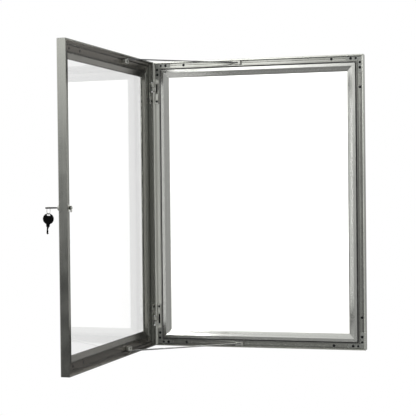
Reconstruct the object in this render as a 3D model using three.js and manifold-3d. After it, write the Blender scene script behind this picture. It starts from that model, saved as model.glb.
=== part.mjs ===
// Lockable notice board: a shallow wall case with a glazed door that swings on two pin hinges.
// Millimetres. +X runs away from the hinge side, +Y runs into the wall and +Z is up.
// The origin is the centre of the case's back face.
// The door is modelled shut and then swung open, as it hangs when someone changes the notices.

import * as THREE from 'three';
import { mergeVertices } from 'three/addons/utils/BufferGeometryUtils.js';
import Module from 'manifold-3d';

const wasm = await Module();
wasm.setup();

// Paper that the board holds, and the sizes that follow from it
const PAPER_WIDTH = 420;
const PAPER_HEIGHT = 594;
const PAPER_MARGIN = 4;
const RAIL_WIDTH = 38;
const CASE_DEPTH = 24;
const DOOR_DEPTH = 20;
const LIP_GAP = 0.6;
const DOOR_OPEN_ANGLE = 92;
const WIDTH = PAPER_WIDTH + 2 * (PAPER_MARGIN + RAIL_WIDTH);
const HEIGHT = PAPER_HEIGHT + 2 * (PAPER_MARGIN + RAIL_WIDTH);

// Clearances
const FIT = 0.3;
const RUNNING_FIT = 0.1;
const OVERRUN = 2;
const MERGE_DISTANCE = 0.0001;

// Steps round a circle, a screw, a rail's corner, a key ring and its wire
const ROUND_STEPS = 20;
const SCREW_STEPS = 8;
const CORNER_STEPS = 4;
const RING_STEPS = 28;
const WIRE_STEPS = 6;

// Case extrusion
const CASE_WALL = 1.8;
const CASE_CORNER = 0.8;
const CASE_LIP_WIDTH = 3.4;
const CASE_LIP_THICKNESS = 1.4;
const CHANNEL_WIDTH = 12.4;
const CHANNEL_DEPTH = 8;
const CHANNEL_WALL_DROP = 3.5;
const DRILL_GROOVE = 0.5;
const PANEL_FLANGE_WIDTH = 18;
const LEDGE_WIDTH = 4;
const LEDGE_THICKNESS = 1.5;
const CHANNEL_FLOOR = CASE_DEPTH - CHANNEL_DEPTH;
const CHANNEL_EDGE = CASE_WALL + CHANNEL_WIDTH;
const CHANNEL_OUTSIDE = CHANNEL_EDGE + CASE_WALL;

// Panels of the case
const BACK_THICKNESS = 2;
const PANEL_THICKNESS = 1.5;
const PANEL_RECESS = 8;
const PANEL_FACE = CASE_DEPTH - PANEL_RECESS;
const PANEL_SEAT = PANEL_FACE - PANEL_THICKNESS - FIT;
const FIXING_HOLE_RADIUS = 3;
const FIXING_INSET_X = 60;
const FIXING_INSET_Z = 80;

// Strip that holds the display panel, and the black wedge beside it
const BEAD_THICKNESS = 1.2;
const BEAD_LAND = 6.7;
const BEAD_SETBACK = 1;
const BEAD_TOE = 0.9;
const BEAD_SLOPE_SHARES = [[0, 0], [0.42, 0.38], [0.79, 0.86], [1, 1]];
const GASKET_WIDTH = 2.7;
const GASKET_HEIGHT = 5.3;
const GASKET_START = CHANNEL_OUTSIDE + FIT;
const BEAD_START = GASKET_START + GASKET_WIDTH + FIT;
const BEAD_FACE = CASE_DEPTH - BEAD_SETBACK;
const BEAD_BASE = PANEL_SEAT + FIT;

// Door extrusion, measured outwards from the door's inner plane
const DOOR_WALL = 1.8;
const DOOR_LIP = 2.5;
const DOOR_CORNER = 2;
const DOOR_LEDGE_WIDTH = 6.8;
const DOOR_LEDGE_DEPTH = 6;
const DOOR_SLOT_WIDTH = 2.1;
const DOOR_SLOT_DEPTH = 9.5;
const DOOR_BAND_DEPTH = 7.6;
const DOOR_BAND_EDGE = 24;
const GLAZING_FLANGE = 2.7;
const FLANGE_CHAMFER = 0.6;
const DOOR_PLANE = CASE_DEPTH + LIP_GAP;
const DOOR_LEDGE_EDGE = DOOR_LIP + DOOR_LEDGE_WIDTH;
const DOOR_SLOT_EDGE = DOOR_LEDGE_EDGE + DOOR_SLOT_WIDTH;

// Pane and the strips that hold it
const GLASS_THICKNESS = 3;
const GLAZING_BEAD_THICKNESS = 1.2;
const GLAZING_RIDGE_WIDTH = 1.9;
const GLAZING_RIDGE_DEPTH = 7.2;
const GLAZING_STEP = 2.3;
const GLAZING_SLOPE = 3.1;
const GLASS_FRONT = DOOR_DEPTH - GLAZING_FLANGE - FIT;
const GLASS_BACK = GLASS_FRONT - GLASS_THICKNESS;
const GLAZING_START = DOOR_BAND_EDGE + FIT;

// Corner cleats and the countersunk screws that hold them
const CASE_CLEAT_LEG = 84;
const DOOR_CLEAT_LEG = 98;
const CASE_SCREW_NEAR = 30;
const DOOR_SCREW_NEAR = 34;
const SCREW_FROM_END = 9.5;
const CASE_SCREW_PLACES = [CASE_SCREW_NEAR, CASE_CLEAT_LEG - SCREW_FROM_END];
const DOOR_SCREW_PLACES = [DOOR_SCREW_NEAR, DOOR_CLEAT_LEG - SCREW_FROM_END];
const DOOR_SCREW_INSET = 17.5;
const SCREW_RADIUS = 1.4;
const SCREW_HEAD_RADIUS = 2.8;
const SCREW_HEAD_HEIGHT = 1.4;

// Hinges
const HINGE_STANDOFF = 0.3;
const KNUCKLE_RADIUS = 3.3;
const KNUCKLE_LENGTH = 9.3;
const KNUCKLE_INSET = 60;
const BUSH_FLANGE = 0.8;
const BUSH_WALL = 0.7;
const PIN_RADIUS = 1.25;
const PIN_HEAD_RADIUS = 2.6;
const PIN_HEAD_HEIGHT = 1;
const LEAF_THICKNESS = 1.8;
const LEAF_WIDTH = 7;
const LEAF_OFFSET = 4.6;
const DOOR_LEAF_OFFSET = 3;
const DOOR_LEAF_WIDTH = 6;
const LEAF_START = 50;
const LEAF_END = 99;
const LEAF_BLOCK = 21;
const LEAF_BLOCK_RISE = 1.6;
const LEAF_SLOT_WIDTH = 3.5;
const LEAF_SLOT_MARGIN = 2.2;
const LEAF_SCREW_INSET = 5.5;
const LEAF_SCREW_LENGTH = 4;
const LEAF_SCREW_HEAD = 0.7;
const SEAL_THICKNESS = 1.4;
const SEAL_START = 6;

// Lock and keys
const LOCK_INSET = 11;
const LOCK_FLANGE_RADIUS = 8.7;
const LOCK_FLANGE_THICKNESS = 1.5;
const BOSS_PROJECTION = 5;
const BOSS_BASE_RADIUS = 6.5;
const BOSS_TIP_RADIUS = 5.3;
const BARREL_RADIUS = 6;
const BARREL_BACK = 1.2;
const PLUG_RADIUS = 4;
const LOCK_NUT_RADIUS = 8.2;
const LOCK_NUT_THICKNESS = 2.2;
const NUT_SIDES = 6;
const CAM_THICKNESS = 1.4;
const CAM_WIDTH = 6;
const CAM_HUB_RADIUS = 4.4;
const TANG = 4.6;
const CAM_SCREW_RADIUS = 2.9;
const CAM_SCREW_HEAD = 0.8;
const CAM_SCREW_GRIP = 6;
const KEY_THICKNESS = 2.2;
const KEY_BLADE_WIDTH = 4;
const KEY_BLADE_LENGTH = 15;
const KEY_SHOULDER_WIDTH = 8;
const KEY_SHOULDER_LENGTH = 5;
const KEY_BOW_RADIUS = 11.25;
const KEY_SLOT_LENGTH = 7.6;
const KEY_SLOT_WIDTH = 3;
const KEY_BAR = 1.85;
const KEY_SLOT_PLACE = KEY_BOW_RADIUS - KEY_BAR - KEY_SLOT_WIDTH / 2;
const KEY_TIP = 2;
const KEY_CUT_DEPTH_SHARES = [0.25, 0.4, 0.15, 0.35];
const RING_RADIUS = 8;
const RING_WIRE = 0.5;
const RING_DROP = 5.5;
const SPARE_PLAY = 0.2;
const SPARE_TURN = 10;
const SPARE_LEAN = 4;

// Stays that hold the door open
const STAY_DOOR_PLACE = 164;
const STAY_SLIDER_PLACE = 205;
const STAY_INSET = 8.8;
const STAY_THICKNESS = 2;
const STAY_WIDTH = 8;
const STAY_PIN_RADIUS = 1.5;
const STAY_PIN_HEAD_RADIUS = 2.8;
const STAY_PIN_HEAD = 1;
const SLIDER_CHEEK = 3.3;
const SLIDER_BEHIND = 9;
const SLIDER_BRIDGE = 6;
const SLIDER_PROUD = 2.9;
const BRACKET_WIDTH = 8.9;
const BRACKET_TAIL = 13;
const BRACKET_SCREW_PLACE = 7.5;
const BRACKET_BORE = 40;

// Small helpers for outlines, solids and cuts

function rad(degrees) {
  return THREE.MathUtils.degToRad(degrees);
}

function shapeOf(points, holes = []) {
  const shape = new THREE.Shape(points.map(([x, y]) => new THREE.Vector2(x, y)));
  holes.forEach((hole) => shape.holes.push(new THREE.Path(hole.map(([x, y]) => new THREE.Vector2(x, y)))));
  return shape;
}

function arc(centreX, centreY, radius, from, to, steps) {
  return Array.from({ length: steps + 1 }, (_, i) => {
    const angle = rad(from + ((to - from) * i) / steps);
    return [centreX + radius * Math.cos(angle), centreY + radius * Math.sin(angle)];
  });
}

function circle(centreX, centreY, radius, steps = ROUND_STEPS) {
  return arc(centreX, centreY, radius, 0, 360, steps).slice(1);
}

function rectangle(x0, x1, y0, y1) {
  return [[x0, y0], [x1, y0], [x1, y1], [x0, y1]];
}

function slotOutline(centreX, centreY, length, width, steps = CORNER_STEPS * 2) {
  const reach = (length - width) / 2;
  return [
    ...arc(centreX + reach, centreY, width / 2, -90, 90, steps),
    ...arc(centreX - reach, centreY, width / 2, 90, 270, steps),
  ];
}

function toSolid(geometry) {
  const plain = geometry.clone();
  plain.deleteAttribute('normal');
  plain.deleteAttribute('uv');
  const merged = mergeVertices(plain, MERGE_DISTANCE);
  return new wasm.Manifold(new wasm.Mesh({
    numProp: 3,
    vertProperties: new Float32Array(merged.attributes.position.array),
    triVerts: new Uint32Array(merged.index.array),
  }));
}

function toGeometry(solid) {
  const mesh = solid.getMesh();
  const geometry = new THREE.BufferGeometry();
  geometry.setAttribute('position', new THREE.BufferAttribute(mesh.vertProperties, 3));
  geometry.setIndex(new THREE.BufferAttribute(mesh.triVerts, 1));
  geometry.computeVertexNormals();
  return geometry;
}

function cut(geometry, ...tools) {
  return toGeometry(tools.reduce((solid, tool) => solid.subtract(toSolid(tool)), toSolid(geometry)));
}

function join(geometry, ...pieces) {
  return toGeometry(pieces.reduce((solid, piece) => solid.add(toSolid(piece)), toSolid(geometry)));
}

// An outline in X and Y, raised along Z from one level to another
function raise(shape, z0, z1) {
  const low = Math.min(z0, z1);
  const geometry = new THREE.ExtrudeGeometry(shape, { depth: Math.abs(z1 - z0), bevelEnabled: false });
  return geometry.translate(0, 0, low);
}

// An outline in X and Z, raised off the wall from one height to another
function plate(shape, from, to) {
  const geometry = new THREE.ExtrudeGeometry(shape, { depth: to - from, bevelEnabled: false });
  return geometry.rotateX(rad(90)).translate(0, -from, 0);
}

function cylinderOffWall(radius, x, z, from, to, steps = ROUND_STEPS) {
  return plate(shapeOf(circle(x, z, radius, steps)), from, to);
}

// A turned piece: its profile is radius against height off the wall
function turned(profile, x, z, steps = ROUND_STEPS) {
  const lathe = new THREE.LatheGeometry(profile.map(([r, h]) => new THREE.Vector2(r, h)), steps);
  return lathe.rotateX(rad(180)).translate(x, 0, z);
}

function material(color, roughness, metalness) {
  return new THREE.MeshStandardMaterial({ color, roughness, metalness });
}

const anodised = material('#b9bbb7', 0.35, 0.9);
const milled = material('#c9cac6', 0.3, 0.9);
const steel = material('#8d8f90', 0.35, 0.9);
const whiteBoard = material('#f7f7f5', 0.5, 0);
const sheetBack = material('#aeb0ae', 0.5, 0.6);
const blackRubber = material('#1b1c1c', 0.8, 0);
const clearPane = new THREE.MeshStandardMaterial({
  color: '#e9eeec', roughness: 0.08, metalness: 0, transparent: true, opacity: 0.25,
});
const blackPlastic = material('#101010', 0.45, 0);
const nickel = material('#d6d6d2', 0.2, 1);

function piece(parent, name, geometry, finish) {
  const mesh = new THREE.Mesh(geometry, finish);
  mesh.name = name;
  parent.add(mesh);
  return mesh;
}

// The four sides of a frame, in turn from the bottom; each is the bottom one turned about +Y
const SIDES = [
  { side: 0, part: 'rail_bottom', edge: 'bottom', length: WIDTH, reach: HEIGHT / 2 },
  { side: 1, part: 'stile_lock', edge: 'lock', length: HEIGHT, reach: WIDTH / 2 },
  { side: 2, part: 'rail_top', edge: 'top', length: WIDTH, reach: HEIGHT / 2 },
  { side: 3, part: 'stile_hinge', edge: 'hinge', length: HEIGHT, reach: WIDTH / 2 },
];

function turnToSide(geometry, { side }) {
  return geometry.rotateY(rad(-90 * side));
}

// A section is width inwards from the frame's edge against height off the wall.
// Its ends are mitred by moving each end vertex in by its own width.
function mitredBar(section, frameSide, holes = []) {
  const { length, reach } = frameSide;
  const bar = new THREE.ExtrudeGeometry(shapeOf(section, holes), { depth: length, bevelEnabled: false });
  const position = bar.attributes.position;
  for (let i = 0; i < position.count; i += 1) {
    const inset = position.getX(i) + FIT / Math.SQRT2;
    position.setZ(i, position.getZ(i) > length / 2 ? length - inset : inset);
  }
  const inwards = new THREE.Vector3(0, 0, 1);
  const offWall = new THREE.Vector3(0, -1, 0);
  const along = new THREE.Vector3(1, 0, 0);
  const placing = new THREE.Matrix4().makeBasis(inwards, offWall, along);
  placing.setPosition(-length / 2, 0, -reach);
  return turnToSide(bar.applyMatrix4(placing), frameSide);
}

// Countersunk screws of one side, as cutters or as solids, at places measured from both ends
function screw(x, z, top, length, towardsWall, clearance) {
  const sign = towardsWall ? -1 : 1;
  const headEnd = top + sign * SCREW_HEAD_HEIGHT;
  const tip = top + sign * length;
  const head = SCREW_HEAD_RADIUS + clearance;
  const shank = SCREW_RADIUS + clearance;
  const profile = [[0, top], [head, top], [shank, headEnd], [shank, tip], [0, tip]];
  return turned(towardsWall ? profile.reverse() : profile, x, z, SCREW_STEPS);
}

const CASE_SECTION = [
  [0, 0],
  [CHANNEL_OUTSIDE, 0],
  [CHANNEL_OUTSIDE, BACK_THICKNESS + FIT],
  [CHANNEL_OUTSIDE + LEDGE_WIDTH, BACK_THICKNESS + FIT],
  [CHANNEL_OUTSIDE + LEDGE_WIDTH, BACK_THICKNESS + FIT + LEDGE_THICKNESS],
  [CHANNEL_OUTSIDE, BACK_THICKNESS + FIT + LEDGE_THICKNESS],
  [CHANNEL_OUTSIDE, PANEL_SEAT - CASE_WALL],
  [CHANNEL_OUTSIDE + PANEL_FLANGE_WIDTH, PANEL_SEAT - CASE_WALL],
  [CHANNEL_OUTSIDE + PANEL_FLANGE_WIDTH, PANEL_SEAT],
  [CHANNEL_OUTSIDE, PANEL_SEAT],
  [CHANNEL_OUTSIDE, CASE_DEPTH - CHANNEL_WALL_DROP],
  [CHANNEL_EDGE, CASE_DEPTH - CHANNEL_WALL_DROP],
  [CHANNEL_EDGE, CHANNEL_FLOOR],
  [STAY_INSET + DRILL_GROOVE, CHANNEL_FLOOR],
  [STAY_INSET, CHANNEL_FLOOR - DRILL_GROOVE],
  [STAY_INSET - DRILL_GROOVE, CHANNEL_FLOOR],
  [CASE_WALL, CHANNEL_FLOOR],
  [CASE_WALL, CASE_DEPTH - CASE_LIP_THICKNESS],
  [CASE_LIP_WIDTH, CASE_DEPTH - CASE_LIP_THICKNESS],
  [CASE_LIP_WIDTH, CASE_DEPTH],
  ...arc(CASE_CORNER, CASE_DEPTH - CASE_CORNER, CASE_CORNER, 90, 180, CORNER_STEPS),
];
const CASE_CHAMBER = rectangle(CASE_WALL, CHANNEL_EDGE, CASE_WALL, CHANNEL_FLOOR - CASE_WALL);

// The slope runs from the strip's flat land down to its toe on the panel
function beadSection() {
  const land = BEAD_START + BEAD_LAND;
  const slope = BEAD_SLOPE_SHARES.map(([along, down]) => [
    land + along * (RAIL_WIDTH - land),
    BEAD_FACE - down * (BEAD_FACE - PANEL_FACE - FIT - BEAD_TOE),
  ]);
  const underside = slope.slice(0, -1).map(([s, t]) => [s - BEAD_THICKNESS / 2, t - BEAD_THICKNESS]);
  const foot = underside[underside.length - 1][0];
  return [
    [BEAD_START, BEAD_BASE],
    [BEAD_START + BEAD_THICKNESS, BEAD_BASE],
    [BEAD_START + BEAD_THICKNESS, BEAD_FACE - BEAD_THICKNESS],
    ...underside,
    [foot, PANEL_FACE + FIT],
    [RAIL_WIDTH, PANEL_FACE + FIT],
    ...slope.reverse(),
    [BEAD_START, BEAD_FACE],
  ];
}

const DOOR_SECTION = [
  [0, 0],
  [DOOR_LIP, 0],
  [DOOR_LIP, DOOR_LEDGE_DEPTH],
  [DOOR_LEDGE_EDGE, DOOR_LEDGE_DEPTH],
  [DOOR_LEDGE_EDGE, DOOR_SLOT_DEPTH],
  [DOOR_SLOT_EDGE, DOOR_SLOT_DEPTH],
  [DOOR_SLOT_EDGE, DOOR_BAND_DEPTH],
  [DOOR_BAND_EDGE, DOOR_BAND_DEPTH],
  [DOOR_BAND_EDGE, DOOR_DEPTH - GLAZING_FLANGE],
  [RAIL_WIDTH - FLANGE_CHAMFER, DOOR_DEPTH - GLAZING_FLANGE],
  [RAIL_WIDTH, DOOR_DEPTH - GLAZING_FLANGE + FLANGE_CHAMFER],
  [RAIL_WIDTH, DOOR_DEPTH - FLANGE_CHAMFER],
  [RAIL_WIDTH - FLANGE_CHAMFER, DOOR_DEPTH],
  ...arc(DOOR_CORNER, DOOR_DEPTH - DOOR_CORNER, DOOR_CORNER, 90, 180, CORNER_STEPS),
].map(([s, d]) => [s, DOOR_PLANE + d]);

const DOOR_CHAMBER = [
  [DOOR_LIP, DOOR_LEDGE_DEPTH + DOOR_WALL],
  [DOOR_LEDGE_EDGE - DOOR_WALL, DOOR_LEDGE_DEPTH + DOOR_WALL],
  [DOOR_LEDGE_EDGE - DOOR_WALL, DOOR_SLOT_DEPTH + DOOR_WALL],
  [DOOR_SLOT_EDGE + DOOR_WALL, DOOR_SLOT_DEPTH + DOOR_WALL],
  [DOOR_SLOT_EDGE + DOOR_WALL, DOOR_BAND_DEPTH + DOOR_WALL],
  [DOOR_BAND_EDGE - DOOR_WALL, DOOR_BAND_DEPTH + DOOR_WALL],
  [DOOR_BAND_EDGE - DOOR_WALL, DOOR_DEPTH - DOOR_WALL],
  [DOOR_LIP, DOOR_DEPTH - DOOR_WALL],
].map(([s, d]) => [s, DOOR_PLANE + d]);

// A raised ridge at the outer edge, a step down, and a slope that ends at the sight line
function glazingBeadSection() {
  const ridge = GLAZING_START + GLAZING_RIDGE_WIDTH;
  const base = GLASS_BACK - FIT;
  const shoulder = GLAZING_RIDGE_DEPTH + GLAZING_STEP;
  const toe = RAIL_WIDTH - GLAZING_BEAD_THICKNESS / 2;
  return [
    [GLAZING_START, base],
    [GLAZING_START, GLAZING_RIDGE_DEPTH],
    [ridge, GLAZING_RIDGE_DEPTH],
    [ridge + GLAZING_BEAD_THICKNESS / 2, shoulder],
    [toe, shoulder + GLAZING_SLOPE],
    [RAIL_WIDTH, base - GLAZING_BEAD_THICKNESS / 4],
    [RAIL_WIDTH, base],
    [toe - GLAZING_BEAD_THICKNESS, base],
    [ridge, shoulder + GLAZING_BEAD_THICKNESS],
    [GLAZING_START + GLAZING_BEAD_THICKNESS, shoulder + GLAZING_BEAD_THICKNESS],
    [GLAZING_START + GLAZING_BEAD_THICKNESS, base],
  ].map(([s, d]) => [s, DOOR_PLANE + d]);
}

// Places of the hinges, the lock and the stays
const HINGE_X = -WIDTH / 2;
const HINGE_HEIGHT = CASE_DEPTH + HINGE_STANDOFF;
const HINGES = [
  { name: 'top', centre: HEIGHT / 2 - KNUCKLE_INSET, end: 1 },
  { name: 'bottom', centre: KNUCKLE_INSET - HEIGHT / 2, end: -1 },
];
const LOCK_X = WIDTH / 2 - LOCK_INSET;
const STAYS = [
  { name: 'top', end: 1 },
  { name: 'bottom', end: -1 },
];

const BRACKET_START = STAY_INSET + STAY_THICKNESS / 2 + FIT;
const BRACKET_MIDDLE = BRACKET_START + BRACKET_WIDTH / 2;

// Level of something a given way in from the top or the bottom edge
function levelIn(end, inset) {
  return end * (HEIGHT / 2 - inset);
}

// Countersunk screws near both ends of one side, at a given width in from the edge
function sideScrews(frameSide, places, inset, top, towardsWall, length, clearance) {
  const { reach } = frameSide;
  const half = frameSide.length / 2;
  return places.flatMap((place) => [place - half, half - place].map((x) => (
    turnToSide(screw(x, inset - reach, top, length, towardsWall, clearance), frameSide)
  )));
}

// The L shaped cleat in the corner where a side meets the next one, with the screws that hold it
function cleat(frameSide, options) {
  const { inner, outer, leg, from, to, places, inset, top, towardsWall, screwLength } = options;
  const half = frameSide.length / 2;
  const floor = -frameSide.reach;
  const corner = [
    [half - outer, floor + outer],
    [half - outer, floor + leg],
    [half - inner, floor + leg],
    [half - inner, floor + inner],
    [half - leg, floor + inner],
    [half - leg, floor + outer],
  ];
  const body = plate(shapeOf(corner), from, to);
  const screws = places.flatMap((place) => [
    screw(half - place, floor + inset, top, screwLength, towardsWall, 0),
    screw(half - inset, floor + place, top, screwLength, towardsWall, 0),
  ]);
  return turnToSide(join(body, ...screws), frameSide);
}

const board = new THREE.Group();

// Everything on the door is placed as if the door were shut, inside a group turned about the hinge axis
const door = new THREE.Group();
door.position.set(HINGE_X, -HINGE_HEIGHT, 0);
door.rotation.z = rad(-DOOR_OPEN_ANGLE);
board.add(door);
const shut = new THREE.Group();
shut.position.set(-HINGE_X, HINGE_HEIGHT, 0);
door.add(shut);

// Case rails, with holes for the cleat screws and clear of the hinge knuckles
function makeCaseRails() {
  const screwLength = CASE_WALL + OVERRUN;
  SIDES.forEach((frameSide) => {
    const bar = mitredBar(CASE_SECTION, frameSide, [CASE_CHAMBER]);
    const holes = sideScrews(
      frameSide, CASE_SCREW_PLACES, STAY_INSET, CHANNEL_FLOOR, true, screwLength, FIT,
    );
    const cuts = frameSide.edge === 'hinge'
      ? [...holes, ...hingeCuts(CASE_LIP_WIDTH, true), ...leafScrewHoles(CASE_LEAF)]
      : holes;
    piece(board, `case_${frameSide.part}`, cut(bar, ...cuts), anodised);
  });
}

// Room for both knuckles of each hinge, cut through the lips of the case or of the door
function hingeCuts(lip, inCase) {
  const room = KNUCKLE_RADIUS + FIT;
  const from = inCase ? HINGE_HEIGHT - room : HINGE_HEIGHT - OVERRUN;
  const to = inCase ? HINGE_HEIGHT + OVERRUN : HINGE_HEIGHT + room;
  const half = KNUCKLE_LENGTH + BUSH_FLANGE + PIN_HEAD_HEIGHT + 2 * FIT;
  return HINGES.map(({ centre }) => {
    const outline = rectangle(HINGE_X - OVERRUN, HINGE_X + lip + FIT, centre - half, centre + half);
    return plate(shapeOf(outline), from, to);
  });
}

function makeCaseCleats() {
  SIDES.forEach((frameSide, i) => {
    piece(board, `case_cleat_${i + 1}`, cleat(frameSide, {
      inner: CASE_WALL + FIT,
      outer: CHANNEL_EDGE - FIT,
      leg: CASE_CLEAT_LEG,
      from: CASE_WALL + FIT,
      to: CHANNEL_FLOOR - CASE_WALL - FIT,
      places: CASE_SCREW_PLACES,
      inset: STAY_INSET,
      top: CHANNEL_FLOOR,
      towardsWall: true,
      screwLength: CASE_WALL + OVERRUN,
    }), steel);
  });
}

function makePanels() {
  const backX = WIDTH / 2 - CHANNEL_OUTSIDE - FIT;
  const backZ = HEIGHT / 2 - CHANNEL_OUTSIDE - FIT;
  const fixings = [-1, 1].flatMap((sx) => [-1, 1].map((sz) => (
    circle(sx * (WIDTH / 2 - FIXING_INSET_X), sz * (HEIGHT / 2 - FIXING_INSET_Z), FIXING_HOLE_RADIUS)
  )));
  const back = shapeOf(rectangle(-backX, backX, -backZ, backZ), fixings);
  piece(board, 'back_panel', plate(back, 0, BACK_THICKNESS), sheetBack);

  const inset = BEAD_START + BEAD_THICKNESS + FIT;
  const panel = plate(shapeOf(insetOutline(inset)), PANEL_FACE - PANEL_THICKNESS, PANEL_FACE);
  piece(board, 'display_panel', panel, whiteBoard);
}

// The frame's outer rectangle, drawn in by a given width
function insetOutline(inset) {
  return rectangle(inset - WIDTH / 2, WIDTH / 2 - inset, inset - HEIGHT / 2, HEIGHT / 2 - inset);
}

function makeBeads() {
  SIDES.forEach((frameSide) => {
    piece(board, `panel_bead_${frameSide.edge}`, mitredBar(beadSection(), frameSide), milled);
  });
  const inside = insetOutline(GASKET_START + GASKET_WIDTH);
  const outline = shapeOf(insetOutline(GASKET_START), [inside]);
  piece(board, 'bead_gasket', plate(outline, BEAD_BASE, BEAD_BASE + GASKET_HEIGHT), blackRubber);
}

// Door rails, with holes for the cleat screws, room for the knuckles and the lock's bore
function makeDoorRails() {
  const screwLength = DOOR_WALL + OVERRUN;
  SIDES.forEach((frameSide) => {
    const bar = mitredBar(DOOR_SECTION, frameSide, [DOOR_CHAMBER]);
    const cuts = sideScrews(
      frameSide, DOOR_SCREW_PLACES, DOOR_SCREW_INSET, DOOR_PLANE + DOOR_BAND_DEPTH, false, screwLength, FIT,
    );
    if (frameSide.edge === 'hinge') {
      cuts.push(...hingeCuts(DOOR_LIP, false), ...leafScrewHoles(DOOR_LEAF));
    }
    if (frameSide.edge === 'lock') {
      cuts.push(cylinderOffWall(
        BARREL_RADIUS + FIT, LOCK_X, 0, DOOR_PLANE - OVERRUN, DOOR_PLANE + DOOR_DEPTH + OVERRUN,
      ));
    }
    const bandFrom = DOOR_PLANE + DOOR_BAND_DEPTH;
    const bandTo = bandFrom + DOOR_WALL;
    const stayScrewX = HINGE_X + STAY_DOOR_PLACE + BRACKET_SCREW_PLACE;
    STAYS.filter(({ name }) => name === frameSide.edge).forEach(({ end }) => {
      const stayScrewZ = levelIn(end, BRACKET_MIDDLE);
      cuts.push(cylinderOffWall(
        SCREW_RADIUS + FIT, stayScrewX, stayScrewZ, bandFrom - OVERRUN, bandTo + OVERRUN, SCREW_STEPS,
      ));
    });
    piece(shut, `door_${frameSide.part}`, cut(bar, ...cuts), anodised);
  });
}

function makeDoorCleats() {
  SIDES.forEach((frameSide, i) => {
    piece(shut, `door_cleat_${i + 1}`, cleat(frameSide, {
      inner: DOOR_LIP + FIT,
      outer: DOOR_BAND_EDGE - DOOR_WALL - FIT,
      leg: DOOR_CLEAT_LEG,
      from: DOOR_PLANE + DOOR_SLOT_DEPTH + DOOR_WALL + FIT,
      to: DOOR_PLANE + DOOR_DEPTH - DOOR_WALL - FIT,
      places: DOOR_SCREW_PLACES,
      inset: DOOR_SCREW_INSET,
      top: DOOR_PLANE + DOOR_BAND_DEPTH,
      towardsWall: false,
      screwLength: DOOR_SLOT_DEPTH + DOOR_WALL + FIT + OVERRUN - DOOR_BAND_DEPTH,
    }), steel);
  });
}

function makeGlazing() {
  const pane = shapeOf(insetOutline(GLAZING_START));
  piece(shut, 'glazing', plate(pane, DOOR_PLANE + GLASS_BACK, DOOR_PLANE + GLASS_FRONT), clearPane);
  SIDES.forEach((frameSide) => {
    piece(shut, `glazing_bead_${frameSide.edge}`, mitredBar(glazingBeadSection(), frameSide), milled);
  });
}

// One knuckle round the hinge axis, between two levels, with the strap that joins it to its leaf
function knuckle(z0, z1, strap, bore) {
  const axis = [HINGE_X, -HINGE_HEIGHT];
  const ring = raise(shapeOf(circle(...axis, KNUCKLE_RADIUS)), z0, z1);
  const arm = raise(shapeOf(strap.map(([s, t]) => [HINGE_X + s, -t])), z0, z1);
  const hole = raise(shapeOf(circle(...axis, bore)), Math.min(z0, z1) - OVERRUN, Math.max(z0, z1) + OVERRUN);
  return cut(join(ring, arm), hole);
}

// A leaf lies along a stile: a slotted tongue towards the corner, a raised block and its screw.
// It rises from its seat off the wall in the case, and towards the wall in the door.
function leafPlate(end, { offset, width, seat, rise }) {
  const x0 = HINGE_X + offset;
  const x1 = x0 + width;
  const middle = (x0 + x1) / 2;
  const tongueEnd = LEAF_END - LEAF_BLOCK;
  const slab = (outline, from, to) => {
    const heights = [seat + from * rise, seat + to * rise];
    return plate(shapeOf(outline), Math.min(...heights), Math.max(...heights));
  };
  const slotLength = tongueEnd - LEAF_START - 2 * LEAF_SLOT_MARGIN;
  const slotZ = levelIn(end, (LEAF_START + tongueEnd) / 2);
  const slot = slotOutline(0, 0, slotLength, LEAF_SLOT_WIDTH).map(([u, v]) => [middle + v, slotZ + u]);
  const screwZ = levelIn(end, LEAF_END - LEAF_SCREW_INSET);
  const blockTop = LEAF_THICKNESS + LEAF_BLOCK_RISE;
  const tongue = rectangle(x0, x1, levelIn(end, LEAF_START), levelIn(end, LEAF_END));
  const block = rectangle(x0, x1, levelIn(end, tongueEnd), levelIn(end, LEAF_END));
  return join(
    cut(slab(tongue, 0, LEAF_THICKNESS), slab(slot, -OVERRUN, LEAF_THICKNESS + OVERRUN)),
    slab(block, 0, blockTop),
    slab(circle(middle, screwZ, SCREW_RADIUS, SCREW_STEPS), -LEAF_SCREW_LENGTH, blockTop),
    slab(circle(middle, screwZ, SCREW_HEAD_RADIUS, SCREW_STEPS), blockTop / 2, blockTop + LEAF_SCREW_HEAD),
  );
}

// Holes that the leaf screws pass through, in the case stile or in the door stile
function leafScrewHoles({ offset, width, seat }) {
  return HINGES.map(({ end }) => cylinderOffWall(
    SCREW_RADIUS + FIT, HINGE_X + offset + width / 2, levelIn(end, LEAF_END - LEAF_SCREW_INSET),
    seat - LEAF_SCREW_LENGTH - OVERRUN, seat + LEAF_SCREW_LENGTH + OVERRUN, SCREW_STEPS,
  ));
}

const CASE_LEAF = { offset: LEAF_OFFSET, width: LEAF_WIDTH, seat: CHANNEL_FLOOR + FIT, rise: 1 };
const DOOR_LEAF = {
  offset: DOOR_LEAF_OFFSET, width: DOOR_LEAF_WIDTH, seat: DOOR_PLANE + DOOR_LEDGE_DEPTH - FIT, rise: -1,
};

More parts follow.
